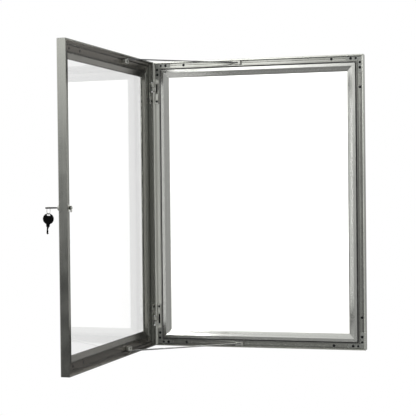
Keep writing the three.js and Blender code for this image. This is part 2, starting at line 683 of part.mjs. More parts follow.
const CASE_STRAP = [
  [0, HINGE_HEIGHT - KNUCKLE_RADIUS],
  [KNUCKLE_RADIUS * 2 / 3, HINGE_HEIGHT - KNUCKLE_RADIUS],
  [LEAF_OFFSET, HINGE_HEIGHT - KNUCKLE_RADIUS - LEAF_THICKNESS],
  [LEAF_OFFSET, CASE_LEAF.seat],
  [LEAF_OFFSET + LEAF_THICKNESS, CASE_LEAF.seat],
  [LEAF_OFFSET + LEAF_THICKNESS, HINGE_HEIGHT - KNUCKLE_RADIUS - LEAF_THICKNESS / 2],
  [KNUCKLE_RADIUS, HINGE_HEIGHT - LEAF_THICKNESS],
  [KNUCKLE_RADIUS, HINGE_HEIGHT - HINGE_STANDOFF],
  [0, HINGE_HEIGHT],
];
const DOOR_STRAP = [
  [0, HINGE_HEIGHT + KNUCKLE_RADIUS],
  [KNUCKLE_RADIUS * 2 / 3, HINGE_HEIGHT + KNUCKLE_RADIUS],
  [DOOR_LEAF_OFFSET, DOOR_LEAF.seat - LEAF_THICKNESS],
  [DOOR_LEAF_OFFSET, DOOR_LEAF.seat],
  [DOOR_LEAF_OFFSET + LEAF_THICKNESS, DOOR_LEAF.seat],
  [DOOR_LEAF_OFFSET + LEAF_THICKNESS, DOOR_LEAF.seat - LEAF_THICKNESS * 2],
  [KNUCKLE_RADIUS, HINGE_HEIGHT + LEAF_THICKNESS],
  [KNUCKLE_RADIUS, HINGE_HEIGHT],
  [0, HINGE_HEIGHT],
];

// Case knuckle below, door knuckle above, a flanged bush between them and a headed pin through both
function makeHinges() {
  const axis = [HINGE_X, -HINGE_HEIGHT];
  const pinBore = PIN_RADIUS + RUNNING_FIT;
  const bushRadius = pinBore + BUSH_WALL;
  const gap = BUSH_FLANGE / 2 + RUNNING_FIT;
  HINGES.forEach(({ name, centre, end }) => {
    const low = centre - gap - KNUCKLE_LENGTH;
    const high = centre + gap + KNUCKLE_LENGTH;
    const caseLeaf = join(leafPlate(end, CASE_LEAF), knuckle(low, centre - gap, CASE_STRAP, pinBore));
    piece(board, `hinge_leaf_case_${name}`, caseLeaf, milled);
    const doorBore = bushRadius + RUNNING_FIT;
    const doorLeaf = join(leafPlate(end, DOOR_LEAF), knuckle(centre + gap, high, DOOR_STRAP, doorBore));
    piece(shut, `hinge_leaf_door_${name}`, doorLeaf, milled);
    const bush = join(
      raise(shapeOf(circle(...axis, KNUCKLE_RADIUS)), centre - BUSH_FLANGE / 2, centre + BUSH_FLANGE / 2),
      raise(shapeOf(circle(...axis, bushRadius)), centre, high),
    );
    const bore = raise(shapeOf(circle(...axis, pinBore)), low, high + OVERRUN);
    piece(shut, `hinge_bush_${name}`, cut(bush, bore), blackPlastic);
    const pin = join(
      raise(shapeOf(circle(...axis, PIN_RADIUS)), low - FIT, high + FIT + PIN_HEAD_HEIGHT),
      raise(shapeOf(circle(...axis, PIN_HEAD_RADIUS)), high + FIT, high + FIT + PIN_HEAD_HEIGHT),
    );
    piece(board, `hinge_pin_${name}`, pin, steel);
  });
}

// A rubber strip outside the hinge side closes the joint to light and water, notched for the knuckles
function makeSeal() {
  const sealEnd = CASE_DEPTH - FIT / 2;
  const inside = HINGE_X - FIT;
  const outside = inside - SEAL_THICKNESS;
  const strip = plate(shapeOf(rectangle(outside, inside, -HEIGHT / 2, HEIGHT / 2)), SEAL_START, sealEnd);
  const room = KNUCKLE_LENGTH + BUSH_FLANGE + PIN_HEAD_HEIGHT + 2 * FIT;
  const notchStart = HINGE_HEIGHT - KNUCKLE_RADIUS - 2 * FIT;
  const notches = HINGES.map(({ centre }) => plate(
    shapeOf(rectangle(outside - OVERRUN, inside + OVERRUN, centre - room, centre + room)),
    notchStart, sealEnd + OVERRUN,
  ));
  piece(board, 'hinge_seal', cut(strip, ...notches), blackRubber);
}

// Shared outline of both keys, from the middle of the bow towards the tip
function keyBlank() {
  const neck = (Math.asin(KEY_SHOULDER_WIDTH / 2 / KEY_BOW_RADIUS) * 180) / Math.PI;
  const shoulder = KEY_BOW_RADIUS + KEY_SHOULDER_LENGTH;
  const tip = shoulder + KEY_BLADE_LENGTH;
  const half = KEY_BLADE_WIDTH / 2;
  const pitch = (KEY_BLADE_LENGTH - KEY_TIP) / (KEY_CUT_DEPTH_SHARES.length + 1);
  const teeth = KEY_CUT_DEPTH_SHARES.flatMap((share, i) => [
    [shoulder + (i + 1 / 2) * pitch, half],
    [shoulder + (i + 1) * pitch, half - share * KEY_BLADE_WIDTH],
  ]);
  const outline = [
    ...arc(0, 0, KEY_BOW_RADIUS, neck, 360 - neck, ROUND_STEPS),
    [shoulder, -KEY_SHOULDER_WIDTH / 2],
    [shoulder, -half],
    [tip - KEY_TIP, -half],
    [tip, -half / 2],
    [tip, half / 2],
    [tip - KEY_TIP, half],
    ...teeth.reverse(),
    [shoulder, half],
    [shoulder, KEY_SHOULDER_WIDTH / 2],
  ];
  const slot = slotOutline(0, 0, KEY_SLOT_LENGTH, KEY_SLOT_WIDTH).map(([u, v]) => [v - KEY_SLOT_PLACE, u]);
  return raise(shapeOf(outline, [slot]), -KEY_THICKNESS / 2, KEY_THICKNESS / 2);
}

const DOOR_FACE = DOOR_PLANE + DOOR_DEPTH;
const BOSS_FACE = DOOR_FACE + BOSS_PROJECTION;
const KEY_HEIGHT = BOSS_FACE + FIT + KEY_SHOULDER_LENGTH + KEY_BOW_RADIUS;
const CAM_FRONT = CASE_DEPTH - CASE_LIP_THICKNESS - FIT;
const CAM_BACK = CAM_FRONT - CAM_THICKNESS;

function makeLock() {
  const bore = PLUG_RADIUS + RUNNING_FIT;
  const barrelBack = DOOR_PLANE + BARREL_BACK;
  const flangeBack = DOOR_FACE + FIT;
  const flangeFront = flangeBack + LOCK_FLANGE_THICKNESS;
  const barrel = join(turned([
    [bore, barrelBack], [BARREL_RADIUS, barrelBack], [BARREL_RADIUS, flangeBack],
    [LOCK_FLANGE_RADIUS, flangeBack], [LOCK_FLANGE_RADIUS, flangeFront],
    [BOSS_BASE_RADIUS, flangeFront], [BOSS_TIP_RADIUS, BOSS_FACE], [bore, BOSS_FACE], [bore, barrelBack],
  ], LOCK_X, 0));
  piece(shut, 'lock_barrel', barrel, milled);

  const nutFront = DOOR_PLANE + DOOR_LEDGE_DEPTH - FIT;
  const nutBack = nutFront - LOCK_NUT_THICKNESS;
  const nut = cylinderOffWall(LOCK_NUT_RADIUS, LOCK_X, 0, nutBack, nutFront, NUT_SIDES);
  const nutBore = cylinderOffWall(
    BARREL_RADIUS + RUNNING_FIT, LOCK_X, 0, nutBack - OVERRUN, nutFront + OVERRUN,
  );
  piece(shut, 'lock_nut', cut(nut, nutBore), steel);

  const square = (size) => shapeOf(rectangle(LOCK_X - size / 2, LOCK_X + size / 2, -size / 2, size / 2));
  const keyway = shapeOf(rectangle(
    LOCK_X - KEY_BLADE_WIDTH / 2 - FIT, LOCK_X + KEY_BLADE_WIDTH / 2 + FIT,
    -KEY_THICKNESS / 2 - FIT, KEY_THICKNESS / 2 + FIT,
  ));
  const camScrewTop = CAM_BACK + CAM_SCREW_GRIP;
  const plug = cut(
    join(
      cylinderOffWall(PLUG_RADIUS, LOCK_X, 0, CAM_FRONT + FIT, BOSS_FACE),
      plate(square(TANG), CAM_BACK, CAM_FRONT + OVERRUN),
    ),
    plate(keyway, BOSS_FACE - KEY_BLADE_LENGTH - OVERRUN, BOSS_FACE + OVERRUN),
    cylinderOffWall(
      SCREW_RADIUS + RUNNING_FIT, LOCK_X, 0, CAM_BACK - OVERRUN, camScrewTop + FIT, SCREW_STEPS,
    ),
  );
  piece(shut, 'lock_plug', plug, nickel);

  const reach = LOCK_INSET - CASE_WALL - FIT;
  const arm = rectangle(LOCK_X - CAM_WIDTH / 2, LOCK_X + CAM_WIDTH / 2, -reach, 0);
  const hub = cylinderOffWall(CAM_HUB_RADIUS, LOCK_X, 0, CAM_BACK, CAM_FRONT);
  const cam = cut(
    join(hub, plate(shapeOf(arm), CAM_BACK, CAM_FRONT)),
    plate(square(TANG + 2 * FIT), CAM_BACK - OVERRUN, CAM_FRONT + OVERRUN),
  );
  piece(shut, 'lock_cam', cam, steel);

  const headFront = CAM_BACK - FIT;
  const camScrew = join(
    cylinderOffWall(CAM_SCREW_RADIUS, LOCK_X, 0, headFront - CAM_SCREW_HEAD, headFront),
    cylinderOffWall(SCREW_RADIUS, LOCK_X, 0, headFront - CAM_SCREW_HEAD / 2, camScrewTop, SCREW_STEPS),
  );
  piece(shut, 'cam_screw', camScrew, steel);
}

// One key stands in the lock with its bow level. The ring goes through its slot and carries the spare.
function makeKeys() {
  piece(shut, 'key', keyBlank().rotateZ(rad(90)).translate(LOCK_X, -KEY_HEIGHT, 0), blackPlastic);

  const halfChord = Math.sqrt(KEY_BOW_RADIUS ** 2 - KEY_SLOT_PLACE ** 2);
  const ringX = LOCK_X - (halfChord + KEY_SLOT_LENGTH / 2) / 2;
  const ringY = -KEY_HEIGHT - KEY_SLOT_PLACE;
  const ring = new THREE.TorusGeometry(RING_RADIUS, RING_WIRE, WIRE_STEPS, RING_STEPS).rotateX(rad(90));
  piece(shut, 'key_ring', ring.translate(ringX, ringY, -RING_DROP), nickel);

  const hang = new THREE.Group();
  hang.position.set(ringX, ringY, -RING_DROP - RING_RADIUS);
  hang.rotation.set(rad(-SPARE_LEAN), 0, rad(SPARE_TURN));
  shut.add(hang);
  const barToBow = KEY_BOW_RADIUS - KEY_BAR;
  const seat = RING_WIRE + SPARE_PLAY;
  const spare = piece(hang, 'spare_key', keyBlank().rotateY(rad(90)), blackPlastic);
  spare.position.set(0, 0, seat - barToBow);
}

// Each stay is a flat arm from a bracket on the door to a block that runs in the case channel
function makeStays() {
  const pivotX = HINGE_X + STAY_DOOR_PLACE;
  const pivotHeight = DOOR_PLANE + DOOR_LEDGE_DEPTH - FIT - STAY_WIDTH / 2;
  const sliderHeight = CHANNEL_FLOOR + FIT + STAY_WIDTH / 2;
  const opened = new THREE.Vector2(STAY_DOOR_PLACE, HINGE_HEIGHT - pivotHeight)
    .rotateAround(new THREE.Vector2(), rad(-DOOR_OPEN_ANGLE));
  const toSlider = new THREE.Vector2(STAY_SLIDER_PLACE, HINGE_HEIGHT - sliderHeight).sub(opened);
  const armLength = toSlider.length();
  const armAngle = toSlider.angle();

  STAYS.forEach(({ name, end }) => {
    const armTop = STAY_INSET - STAY_THICKNESS / 2;
    const armBase = STAY_INSET + STAY_THICKNESS / 2;
    const at = (inset) => levelIn(end, inset);
    const bore = STAY_PIN_RADIUS + RUNNING_FIT;

    const bracketTo = BRACKET_START + BRACKET_WIDTH;
    const half = STAY_WIDTH / 2;
    const base = pivotHeight - (DOOR_PLANE + DOOR_BAND_DEPTH - FIT);
    const bracketShape = shapeOf([
      [-half, base],
      [BRACKET_TAIL, base],
      ...arc(BRACKET_TAIL - half, 0, half, 0, 90, CORNER_STEPS),
      ...arc(0, 0, half, 90, 180, CORNER_STEPS),
    ]);
    const pinHole = raise(shapeOf(circle(0, 0, bore)), at(armTop), at(bracketTo + OVERRUN));
    const screwZ = at(BRACKET_MIDDLE);
    const screwHole = new THREE.CylinderGeometry(
      SCREW_RADIUS + FIT, SCREW_RADIUS + FIT, BRACKET_BORE, SCREW_STEPS,
    ).translate(BRACKET_SCREW_PLACE, 0, screwZ);
    const headHole = new THREE.CylinderGeometry(
      SCREW_HEAD_RADIUS + FIT, SCREW_HEAD_RADIUS + FIT, half, SCREW_STEPS,
    ).translate(BRACKET_SCREW_PLACE, half, screwZ);
    const bracket = cut(raise(bracketShape, at(BRACKET_START), at(bracketTo)), pinHole, screwHole, headHole);
    piece(shut, `stay_bracket_${name}`, bracket.translate(pivotX, -pivotHeight, 0), milled);

    const screwLength = half / 2 - base + DOOR_WALL;
    const fixing = join(
      new THREE.CylinderGeometry(SCREW_HEAD_RADIUS, SCREW_HEAD_RADIUS, SCREW_HEAD_HEIGHT, SCREW_STEPS)
        .translate(0, half / 2 + FIT + SCREW_HEAD_HEIGHT / 2, 0),
      new THREE.CylinderGeometry(SCREW_RADIUS, SCREW_RADIUS, screwLength + SCREW_HEAD_HEIGHT, SCREW_STEPS)
        .translate(0, half / 2 + FIT + SCREW_HEAD_HEIGHT - (screwLength + SCREW_HEAD_HEIGHT) / 2, 0),
    );
    const fixingX = pivotX + BRACKET_SCREW_PLACE;
    piece(shut, `stay_screw_${name}`, fixing.translate(fixingX, -pivotHeight, screwZ), steel);

    const pinStart = armTop - FIT - STAY_PIN_HEAD;
    const doorPin = join(
      raise(shapeOf(circle(0, 0, STAY_PIN_RADIUS)), at(pinStart), at(bracketTo)),
      raise(shapeOf(circle(0, 0, STAY_PIN_HEAD_RADIUS)), at(pinStart), at(pinStart + STAY_PIN_HEAD)),
    );
    piece(shut, `stay_pin_${name}`, doorPin.translate(pivotX, -pivotHeight, 0), steel);

    const arm = new THREE.Group();
    arm.position.set(pivotX, -pivotHeight, 0);
    arm.rotation.z = armAngle + rad(DOOR_OPEN_ANGLE);
    shut.add(arm);
    const strap = slotOutline(armLength / 2, 0, armLength + STAY_WIDTH, STAY_WIDTH);
    const armShape = shapeOf(strap, [circle(0, 0, bore), circle(armLength, 0, bore)]);
    piece(arm, `stay_arm_${name}`, raise(armShape, at(armTop), at(armBase)), steel);

    const block = new THREE.Group();
    block.position.set(armLength, 0, 0);
    block.rotation.z = -armAngle;
    arm.add(block);
    const cheekTop = armTop - FIT - SLIDER_CHEEK;
    const cheekBase = armBase + FIT + SLIDER_CHEEK;
    const slotEnd = half + FIT;
    const bodyShape = shapeOf(rectangle(-SLIDER_BEHIND, slotEnd + SLIDER_BRIDGE, -SLIDER_PROUD, half));
    const body = raise(bodyShape, at(cheekTop), at(cheekBase));
    const armSlot = raise(
      shapeOf(rectangle(-SLIDER_BEHIND - OVERRUN, slotEnd, -SLIDER_PROUD - OVERRUN, half + OVERRUN)),
      at(armTop - FIT), at(armBase + FIT),
    );
    const sliderBore = raise(shapeOf(circle(0, 0, bore)), at(cheekTop - OVERRUN), at(cheekBase + OVERRUN));
    piece(block, `stay_slider_${name}`, cut(body, armSlot, sliderBore), milled);
    const pin = raise(shapeOf(circle(0, 0, STAY_PIN_RADIUS)), at(cheekTop), at(cheekBase));
    piece(block, `slider_pin_${name}`, pin, steel);
  });
}

makeCaseRails();
makeCaseCleats();
makePanels();
makeBeads();
makeDoorRails();
makeDoorCleats();
makeGlazing();
makeHinges();
makeSeal();
makeLock();
makeKeys();
makeStays();

export default board;
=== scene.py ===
"""Lockable notice board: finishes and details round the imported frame."""
import math

import bmesh
import bpy
from bpy.props import FloatProperty, FloatVectorProperty, PointerProperty
from bpy.types import Operator, Panel, PropertyGroup
from mathutils import Matrix, Vector


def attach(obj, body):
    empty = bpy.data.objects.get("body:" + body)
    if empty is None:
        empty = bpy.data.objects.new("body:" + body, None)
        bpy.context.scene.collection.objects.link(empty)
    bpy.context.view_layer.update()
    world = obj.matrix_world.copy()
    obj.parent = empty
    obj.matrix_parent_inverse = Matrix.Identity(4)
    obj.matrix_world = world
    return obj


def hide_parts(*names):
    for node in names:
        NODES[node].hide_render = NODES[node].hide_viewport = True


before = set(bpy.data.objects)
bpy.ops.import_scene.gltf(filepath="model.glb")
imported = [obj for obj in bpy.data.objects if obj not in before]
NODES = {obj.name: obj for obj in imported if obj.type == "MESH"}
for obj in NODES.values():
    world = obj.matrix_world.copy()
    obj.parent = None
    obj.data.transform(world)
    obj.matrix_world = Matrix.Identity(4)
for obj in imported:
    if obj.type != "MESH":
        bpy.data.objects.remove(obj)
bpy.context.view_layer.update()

bl_info = {
    "name": "Lockable Notice Board",
    "version": (1, 0, 0),
    "blender": (4, 5, 0),
    "location": "View3D > Sidebar > Notice Board",
    "description": "Finishes and details of a glazed wall notice board",
    "category": "Object",
}

MM = 0.001

# The room that the metal mirrors: how bright each side is by height, from low to high. The camera sees none of it.
ROOM_STRENGTH = 4.5
ROOM_LEFT = ((0.0, 0.1), (0.37, 0.13), (0.5, 0.2), (0.6, 0.33), (1.0, 0.38))
ROOM_FRONT = (
    (0.0, 0.07), (0.2, 0.05), (0.36, 0.03), (0.44, 0.05), (0.5, 0.11), (0.56, 0.32), (0.61, 1.0), (0.7, 0.85),
    (1.0, 0.23),
)
ROOM_RIGHT = ((0.0, 0.07), (0.2, 0.1), (0.37, 0.1), (0.5, 0.12), (0.58, 0.1), (0.62, 0.15), (0.8, 0.2), (1.0, 0.19))
ROOM_BACK = ((0.0, 0.07), (0.5, 0.065), (0.8, 0.2), (1.0, 0.33))
# A dark stand in front, a little left of the middle, and the bright screen beside it
FRONT_SCREEN = ((0.0, 0.4), (0.3, 0.36), (0.38, 1.0), (0.46, 1.3), (1.0, 1.0))

# The camera that was fitted to the board's straight edges: its place in metres, then yaw, pitch and roll in degrees
CAMERA_PLACE = (0.6342, -2.7537, 0.0348)
CAMERA_TURNS = (-15.417, -0.912, -0.620)
SENSOR_WIDTH = 36

TOP_AND_BOTTOM = (("top", 1), ("bottom", -1))
EDGES = ("bottom", "lock", "top", "hinge")
HINGE = Vector((-252 * MM, -24.3 * MM, 0))
OPEN_ANGLE = math.radians(92)
DOOR_PLANE = 24.6 * MM
LOCK_X = 241 * MM
HALF_WIDTH = 252 * MM
HALF_HEIGHT = 339 * MM
RAIL_WIDTH = 38 * MM

# Places in millimetres. Heights are off the wall, insets and ends are in from the frame's edge.
CHANNEL_FLOOR = 16.62
PLATE_FACE = 17.2
CHANNEL_MIDDLE = 8.8
CASE_SCREW_HEIGHT = 16
CASE_SCREW_ENDS = (30, 74.5)
PLATE_SCREW_ENDS = (18,)
DOOR_SCREW_HEIGHT = 32.2
DOOR_SCREW_INSET = 17.5
DOOR_SCREW_ENDS = (34, 88.5)
# Middles of the hinge leaves across the board, and levels above and below the board's middle
CASE_LEAF_X = -243.9
DOOR_LEAF_X = -246
LEAF_SCREW_LEVEL = 245.5
LEAF_SLOT_LEVEL = 275
HINGE_LEVEL = 279
# Pivots of the stays, and the hole in the key's bow, as (across, height off the wall)
SLIDER_PIVOT = (-47, 20.3)
BRACKET_PIVOT = (-88, 26.3)
KEY_HOLE = (235.095, 74.05)

# Painted light and shade across the case's section: how much of the metal's light each part keeps, (millimetres in
# from the edge, share). The lips' full share is a painted highlight, the lower shares painted shade in the channels
CASE_LIGHT_BANDS = (
    (0, 1.0), (3.3, 1.0), (3.8, 0.5), (6.4, 0.55), (7.6, 0.68), (11.5, 0.68), (13, 0.55), (38, 0.6),
)
LOCK_LIGHT_BANDS = ((0, 1.0), (3.3, 1.0), (4.2, 0.2), (6.2, 0.22), (7.6, 0.46), (11.5, 0.5), (13, 0.38), (38, 0.4))
HINGE_LIGHT_BANDS = ((0, 0.8), (3.3, 0.8), (4, 0.72), (7, 0.85), (11.5, 1.0), (12.4, 0.6), (14.5, 0.4), (38, 0.4))
# The same for the door's rails and its lock stile, with painted shade in the slot and the corners
DOOR_SHADE_BANDS = (
    (0, 1.0), (2.2, 1.0), (2.6, 0.5), (3.6, 0.8), (8.4, 0.85), (9.1, 0.35), (11.3, 0.35), (11.9, 1.0), (22.4, 0.9),
    (23.6, 0.5), (24.4, 1.0), (38, 1.0),
)

# The door's own place: a point given as on the shut door goes to where the open door has it
SHUT_TO_OPEN = Matrix.Translation(HINGE) @ Matrix.Rotation(-OPEN_ANGLE, 4, "Z") @ Matrix.Translation(-HINGE)


# ---------------------------------------------------------------- materials

FINISHES = {}


def linear(code):
    """sRGB hex to linear RGBA."""
    parts = [int(code[i:i + 2], 16) / 255 for i in (1, 3, 5)]
    return [p / 12.92 if p <= 0.04045 else ((p + 0.055) / 1.055) ** 2.4 for p in parts] + [1]


def shaded(colour, share):
    """A colour made darker or lighter by a share of its light."""
    return [min(part * share, 1) for part in colour[:3]] + [1]


def grey(value):
    return (value, value, value, 1)


def add_node(tree, kind, values=None, links=None, stops=(), **settings):
    """Adds a node with its settings, its sockets' values, the nodes or sockets that feed it and its ramp stops."""
    node = tree.nodes.new(kind)
    for name, value in settings.items():
        setattr(node, name, value)
    for name, value in (values or {}).items():
        node.inputs[name].default_value = value
    for name, source in (links or {}).items():
        tree.links.new(source.outputs[0] if hasattr(source, "outputs") else source, node.inputs[name])
    if stops:
        elements = node.color_ramp.elements
        while len(elements) < len(stops):
            elements.new(0.5)
        for element, (place, colour) in zip(elements, stops):
            element.position = place
            element.color = colour
    return node


def new_material(name, colour):
    """An empty material, kept under its name, with its nodes and the object's own coordinates."""
    made = FINISHES[name] = bpy.data.materials.new(name)
    made.use_nodes = True
    made.node_tree.nodes.clear()
    made.diffuse_color = (*colour[:3], 1)
    return made, made.node_tree, add_node(made.node_tree, "ShaderNodeTexCoord").outputs["Object"]


def closed(made, values, links):
    """A material closed with its shader and its output."""
    shader = add_node(made.node_tree, "ShaderNodeBsdfPrincipled", values, links)
    add_node(made.node_tree, "ShaderNodeOutputMaterial", links={"Surface": shader})
    return made


def mottle(tree, place, size, low=0.0, high=1.0, detail=2.0, stretch=(1, 1, 1), turn=0.0):
    """A random pattern from low to high, with marks about size metres across that stretch draws out."""
    drawn_out = add_node(
        tree, "ShaderNodeMapping",
        {"Rotation": (0, 0, turn), "Scale": tuple(1 / part for part in stretch)}, {"Vector": place},
    )
    marks = add_node(
        tree, "ShaderNodeTexNoise", {"Scale": 1 / size, "Detail": detail, "Roughness": 0.55}, {"Vector": drawn_out},
    )
    return add_node(
        tree, "ShaderNodeMapRange", {"From Min": 0.3, "From Max": 0.7, "To Min": low, "To Max": high},
        {"Value": marks},
    )


# The way that each bar's die lines run: how they are drawn out, and the turn that brings the open door's in line
ALONG = {"x": ((400, 1, 1), 0.0), "z": ((1, 1, 400), 0.0), "door": ((400, 1, 1), OPEN_ANGLE)}
# Die lines are about 0.1 mm apart, which no render here could show, so they are drawn 0.7 mm apart
DIE_LINE = 0.7 * MM
SATIN = (0.18, 0.25)
PATCH = 45 * MM


def extruded_aluminium(name, light, rough, way, shade=None, matt=0.0):
    """Extruded and anodised: die lines run the length of the bar, and handling leaves soft, duller patches.
    The anodised coat over the metal scatters a share of the light where it is matt; a shade hook paints light and
    shade into the colour."""
    made, tree, place = new_material(f"{name}_{way}", light)
    stretch, turn = ALONG[way]
    lines = mottle(tree, place, DIE_LINE, detail=1.0, stretch=stretch, turn=turn)
    tint = add_node(
        tree, "ShaderNodeValToRGB", links={"Fac": lines}, stops=((0, shaded(light, 0.87)), (1, shaded(light, 1))),
    )
    if shade is not None:
        tint = shade(tree, place, tint)
    relief = add_node(tree, "ShaderNodeBump", {"Distance": 0.0024 * MM, "Strength": 0.35}, {"Height": lines})
    return closed(made, {"Metallic": 1.0 - matt}, {
        "Base Color": tint, "Roughness": mottle(tree, place, PATCH, *rough), "Normal": relief,
    })


def inside_shade(tree, place, tint, way, level, shade_tint):
    """Painted shade on the faces that look into the case, away from the light: those that face along way, below a
    level.
    """
    normal = add_node(tree, "ShaderNodeTexCoord").outputs["Normal"]
    facing = add_node(tree, "ShaderNodeVectorMath", {1: way}, {0: normal}, operation="DOT_PRODUCT")
    depth = add_node(tree, "ShaderNodeVectorMath", {1: way}, {0: place}, operation="DOT_PRODUCT")
    looks_in = add_node(
        tree, "ShaderNodeMapRange", {"From Min": 0.1, "From Max": 0.5}, {"Value": facing.outputs["Value"]},
    )
    below = add_node(
        tree, "ShaderNodeMapRange",
        {"From Min": level - 1.2 * MM, "From Max": level - 0.4 * MM, "To Min": 1, "To Max": 0},
        {"Value": depth.outputs["Value"]},
    )
    share = add_node(tree, "ShaderNodeMath", links={0: looks_in, 1: below}, operation="MULTIPLY")
    node = add_node(
        tree, "ShaderNodeMix", {7: linear(shade_tint)}, {0: share, 6: tint}, data_type="RGBA", blend_type="MULTIPLY",
    )
    return node.outputs[2]


def section_light_bands(tree, place, tint, bands, centre=(0, 0, 0)):
    """Painted light and shade across a section, in bands by how far in from the frame's edge: a painted highlight on
    the lips and painted shade in the channels and slots.
    """
    from_centre = add_node(tree, "ShaderNodeVectorMath", {1: centre}, {0: place}, operation="SUBTRACT")
    spread = add_node(tree, "ShaderNodeVectorMath", links={0: from_centre}, operation="ABSOLUTE")
    axes = add_node(tree, "ShaderNodeSeparateXYZ", links={"Vector": spread})
    # The open door stands along Y, so its width is read there
    width = "Y" if any(centre) else "X"
    across = add_node(tree, "ShaderNodeMath", {0: HALF_WIDTH}, {1: axes.outputs[width]}, operation="SUBTRACT")
    upright = add_node(tree, "ShaderNodeMath", {0: HALF_HEIGHT}, {1: axes.outputs["Z"]}, operation="SUBTRACT")
    edge = add_node(tree, "ShaderNodeMath", links={0: across, 1: upright}, operation="MINIMUM")
    share = add_node(tree, "ShaderNodeMapRange", {"From Min": 0, "From Max": RAIL_WIDTH}, {"Value": edge})
    band = add_node(
        tree, "ShaderNodeValToRGB", links={"Fac": share},
        stops=[(inset * MM / RAIL_WIDTH, grey(value)) for inset, value in bands],
    )
    node = add_node(
        tree, "ShaderNodeMix", {0: 1.0}, {6: tint, 7: band}, data_type="RGBA", blend_type="MULTIPLY",
    )
    return node.outputs[2]


def plated_steel(name, light, rough, dark=0.62, lit_top=None):
    """Zinc, nickel or black plating on steel: cloudy, with a fine grain from the bath.
    The grain is a few hundredths of a millimetre, and is drawn 0.5 mm wide so that it shows.
    Faces that look up can take a lighter colour, a painted highlight for the light from above."""
    made, tree, place = new_material(name, light)
    clouds = mottle(tree, place, 6 * MM, detail=3.0)
    tint = add_node(
        tree, "ShaderNodeValToRGB", links={"Fac": clouds}, stops=((0, shaded(light, dark)), (1, shaded(light, 1))),
    )
    # Painted highlight on the faces that look up
    if lit_top is not None:
        normal = add_node(tree, "ShaderNodeTexCoord").outputs["Normal"]
        axes = add_node(tree, "ShaderNodeSeparateXYZ", links={"Vector": normal})
        upward = add_node(
            tree, "ShaderNodeMapRange", {"From Min": 0.3, "From Max": 0.7}, {"Value": axes.outputs["Z"]},
        )
        tint = add_node(
            tree, "ShaderNodeMix", {7: lit_top}, {0: upward, 6: tint}, data_type="RGBA",
        ).outputs[2]
    sheen = add_node(tree, "ShaderNodeMapRange", {"To Min": rough[0], "To Max": rough[1]}, {"Value": clouds})
    grain = mottle(tree, place, 0.5 * MM)
    relief = add_node(tree, "ShaderNodeBump", {"Distance": 0.008 * MM, "Strength": 0.4}, {"Height": grain})
    return closed(made, {"Metallic": 1.0}, {"Base Color": tint, "Roughness": sheen, "Normal": relief})


def coated_sheet(name, colour, roughness, peel):
    """Stoved enamel or powder coat on sheet: a faint orange peel breaks up its highlights."""
    made, tree, place = new_material(name, colour)
    height = mottle(tree, place, peel)
    relief = add_node(tree, "ShaderNodeBump", {"Distance": 0.012 * MM, "Strength": 0.25}, {"Height": height})
    wiped = mottle(tree, place, 60 * MM, roughness - 0.05, roughness + 0.08, 3.0)
    return closed(made, {"Base Color": shaded(colour, 1)}, {"Roughness": wiped, "Normal": relief})


def extruded_rubber(colour):
    """Extruded rubber: dull, with a bloom that greys it in patches and a skin like fine sandpaper."""
    made, tree, place = new_material("extruded_rubber", colour)
    bloom = mottle(tree, place, 12 * MM, detail=3.0)
    tint = add_node(
        tree, "ShaderNodeValToRGB", links={"Fac": bloom}, stops=((0, shaded(colour, 0.34)), (1, shaded(colour, 1))),
    )
    height = mottle(tree, place, 0.4 * MM)
    relief = add_node(tree, "ShaderNodeBump", {"Distance": 0.012 * MM, "Strength": 0.5}, {"Height": height})
    return closed(made, {"Roughness": 0.75}, {"Base Color": tint, "Normal": relief})


def moulded_nylon(colour):
    """Moulded nylon: black, with a soft sheen and the fine grain of a spark-eroded mould."""
    made, tree, place = new_material("moulded_nylon", colour)
    height = mottle(tree, place, 0.35 * MM, detail=1.0)
    relief = add_node(tree, "ShaderNodeBump", {"Distance": 0.008 * MM, "Strength": 0.5}, {"Height": height})
    return closed(
        made, {"Base Color": shaded(colour, 1), "Specular IOR Level": 0.06},
        {"Roughness": mottle(tree, place, 5 * MM, 0.4, 0.55), "Normal": relief},
    )


def cast_acrylic(clear):
    """Cast acrylic: clear and polished, with a trace of wiping that only shows in its reflections."""
    made, tree, place = new_material("cast_acrylic", clear)
    wiping = mottle(tree, place, 30 * MM, 0.0, 0.03, 4.0, (1, 1, 3))
    return closed(
        made, {"Base Color": shaded(clear, 1), "Transmission Weight": 1.0, "IOR": 1.49}, {"Roughness": wiping},
    )


def give(names, made):
    """Puts a finish on CAD nodes."""
    for name in names:
        node = NODES[name]
        if not node.material_slots:
            node.data.materials.append(made)
        for place in node.material_slots:
            place.link = "OBJECT"
            place.material = made


def soften(names, width, angle=32):
    """Takes the sharpness off a CAD node's edges: its triangles are welded first, so that edges are known."""
    for name in names:
        node = NODES[name]
        for face in node.data.polygons:
            face.use_smooth = True
        weld = node.modifiers.new("weld", "WELD")
        weld.merge_threshold = 0.002 * MM
        edge = node.modifiers.new("edge", "BEVEL")
        edge.width = width
        edge.segments = 2
        edge.limit_method = "ANGLE"
        edge.angle_limit = math.radians(angle)
        flats = node.modifiers.new("flats", "WEIGHTED_NORMAL")
        flats.weight = 100


# ---------------------------------------------------------------- modelling

def start(kind, name, **size):
    """Adds a primitive at the origin and leaves it in edit mode with nothing selected."""
    bpy.ops.object.select_all(action="DESELECT")
    getattr(bpy.ops.mesh, f"primitive_{kind}_add")(location=(0, 0, 0), **size)
    made = bpy.context.object
    made.name = made.data.name = name
    bpy.ops.object.mode_set(mode="EDIT")
    bpy.ops.mesh.select_mode(type="VERT")
    bpy.ops.mesh.select_all(action="DESELECT")
    return made


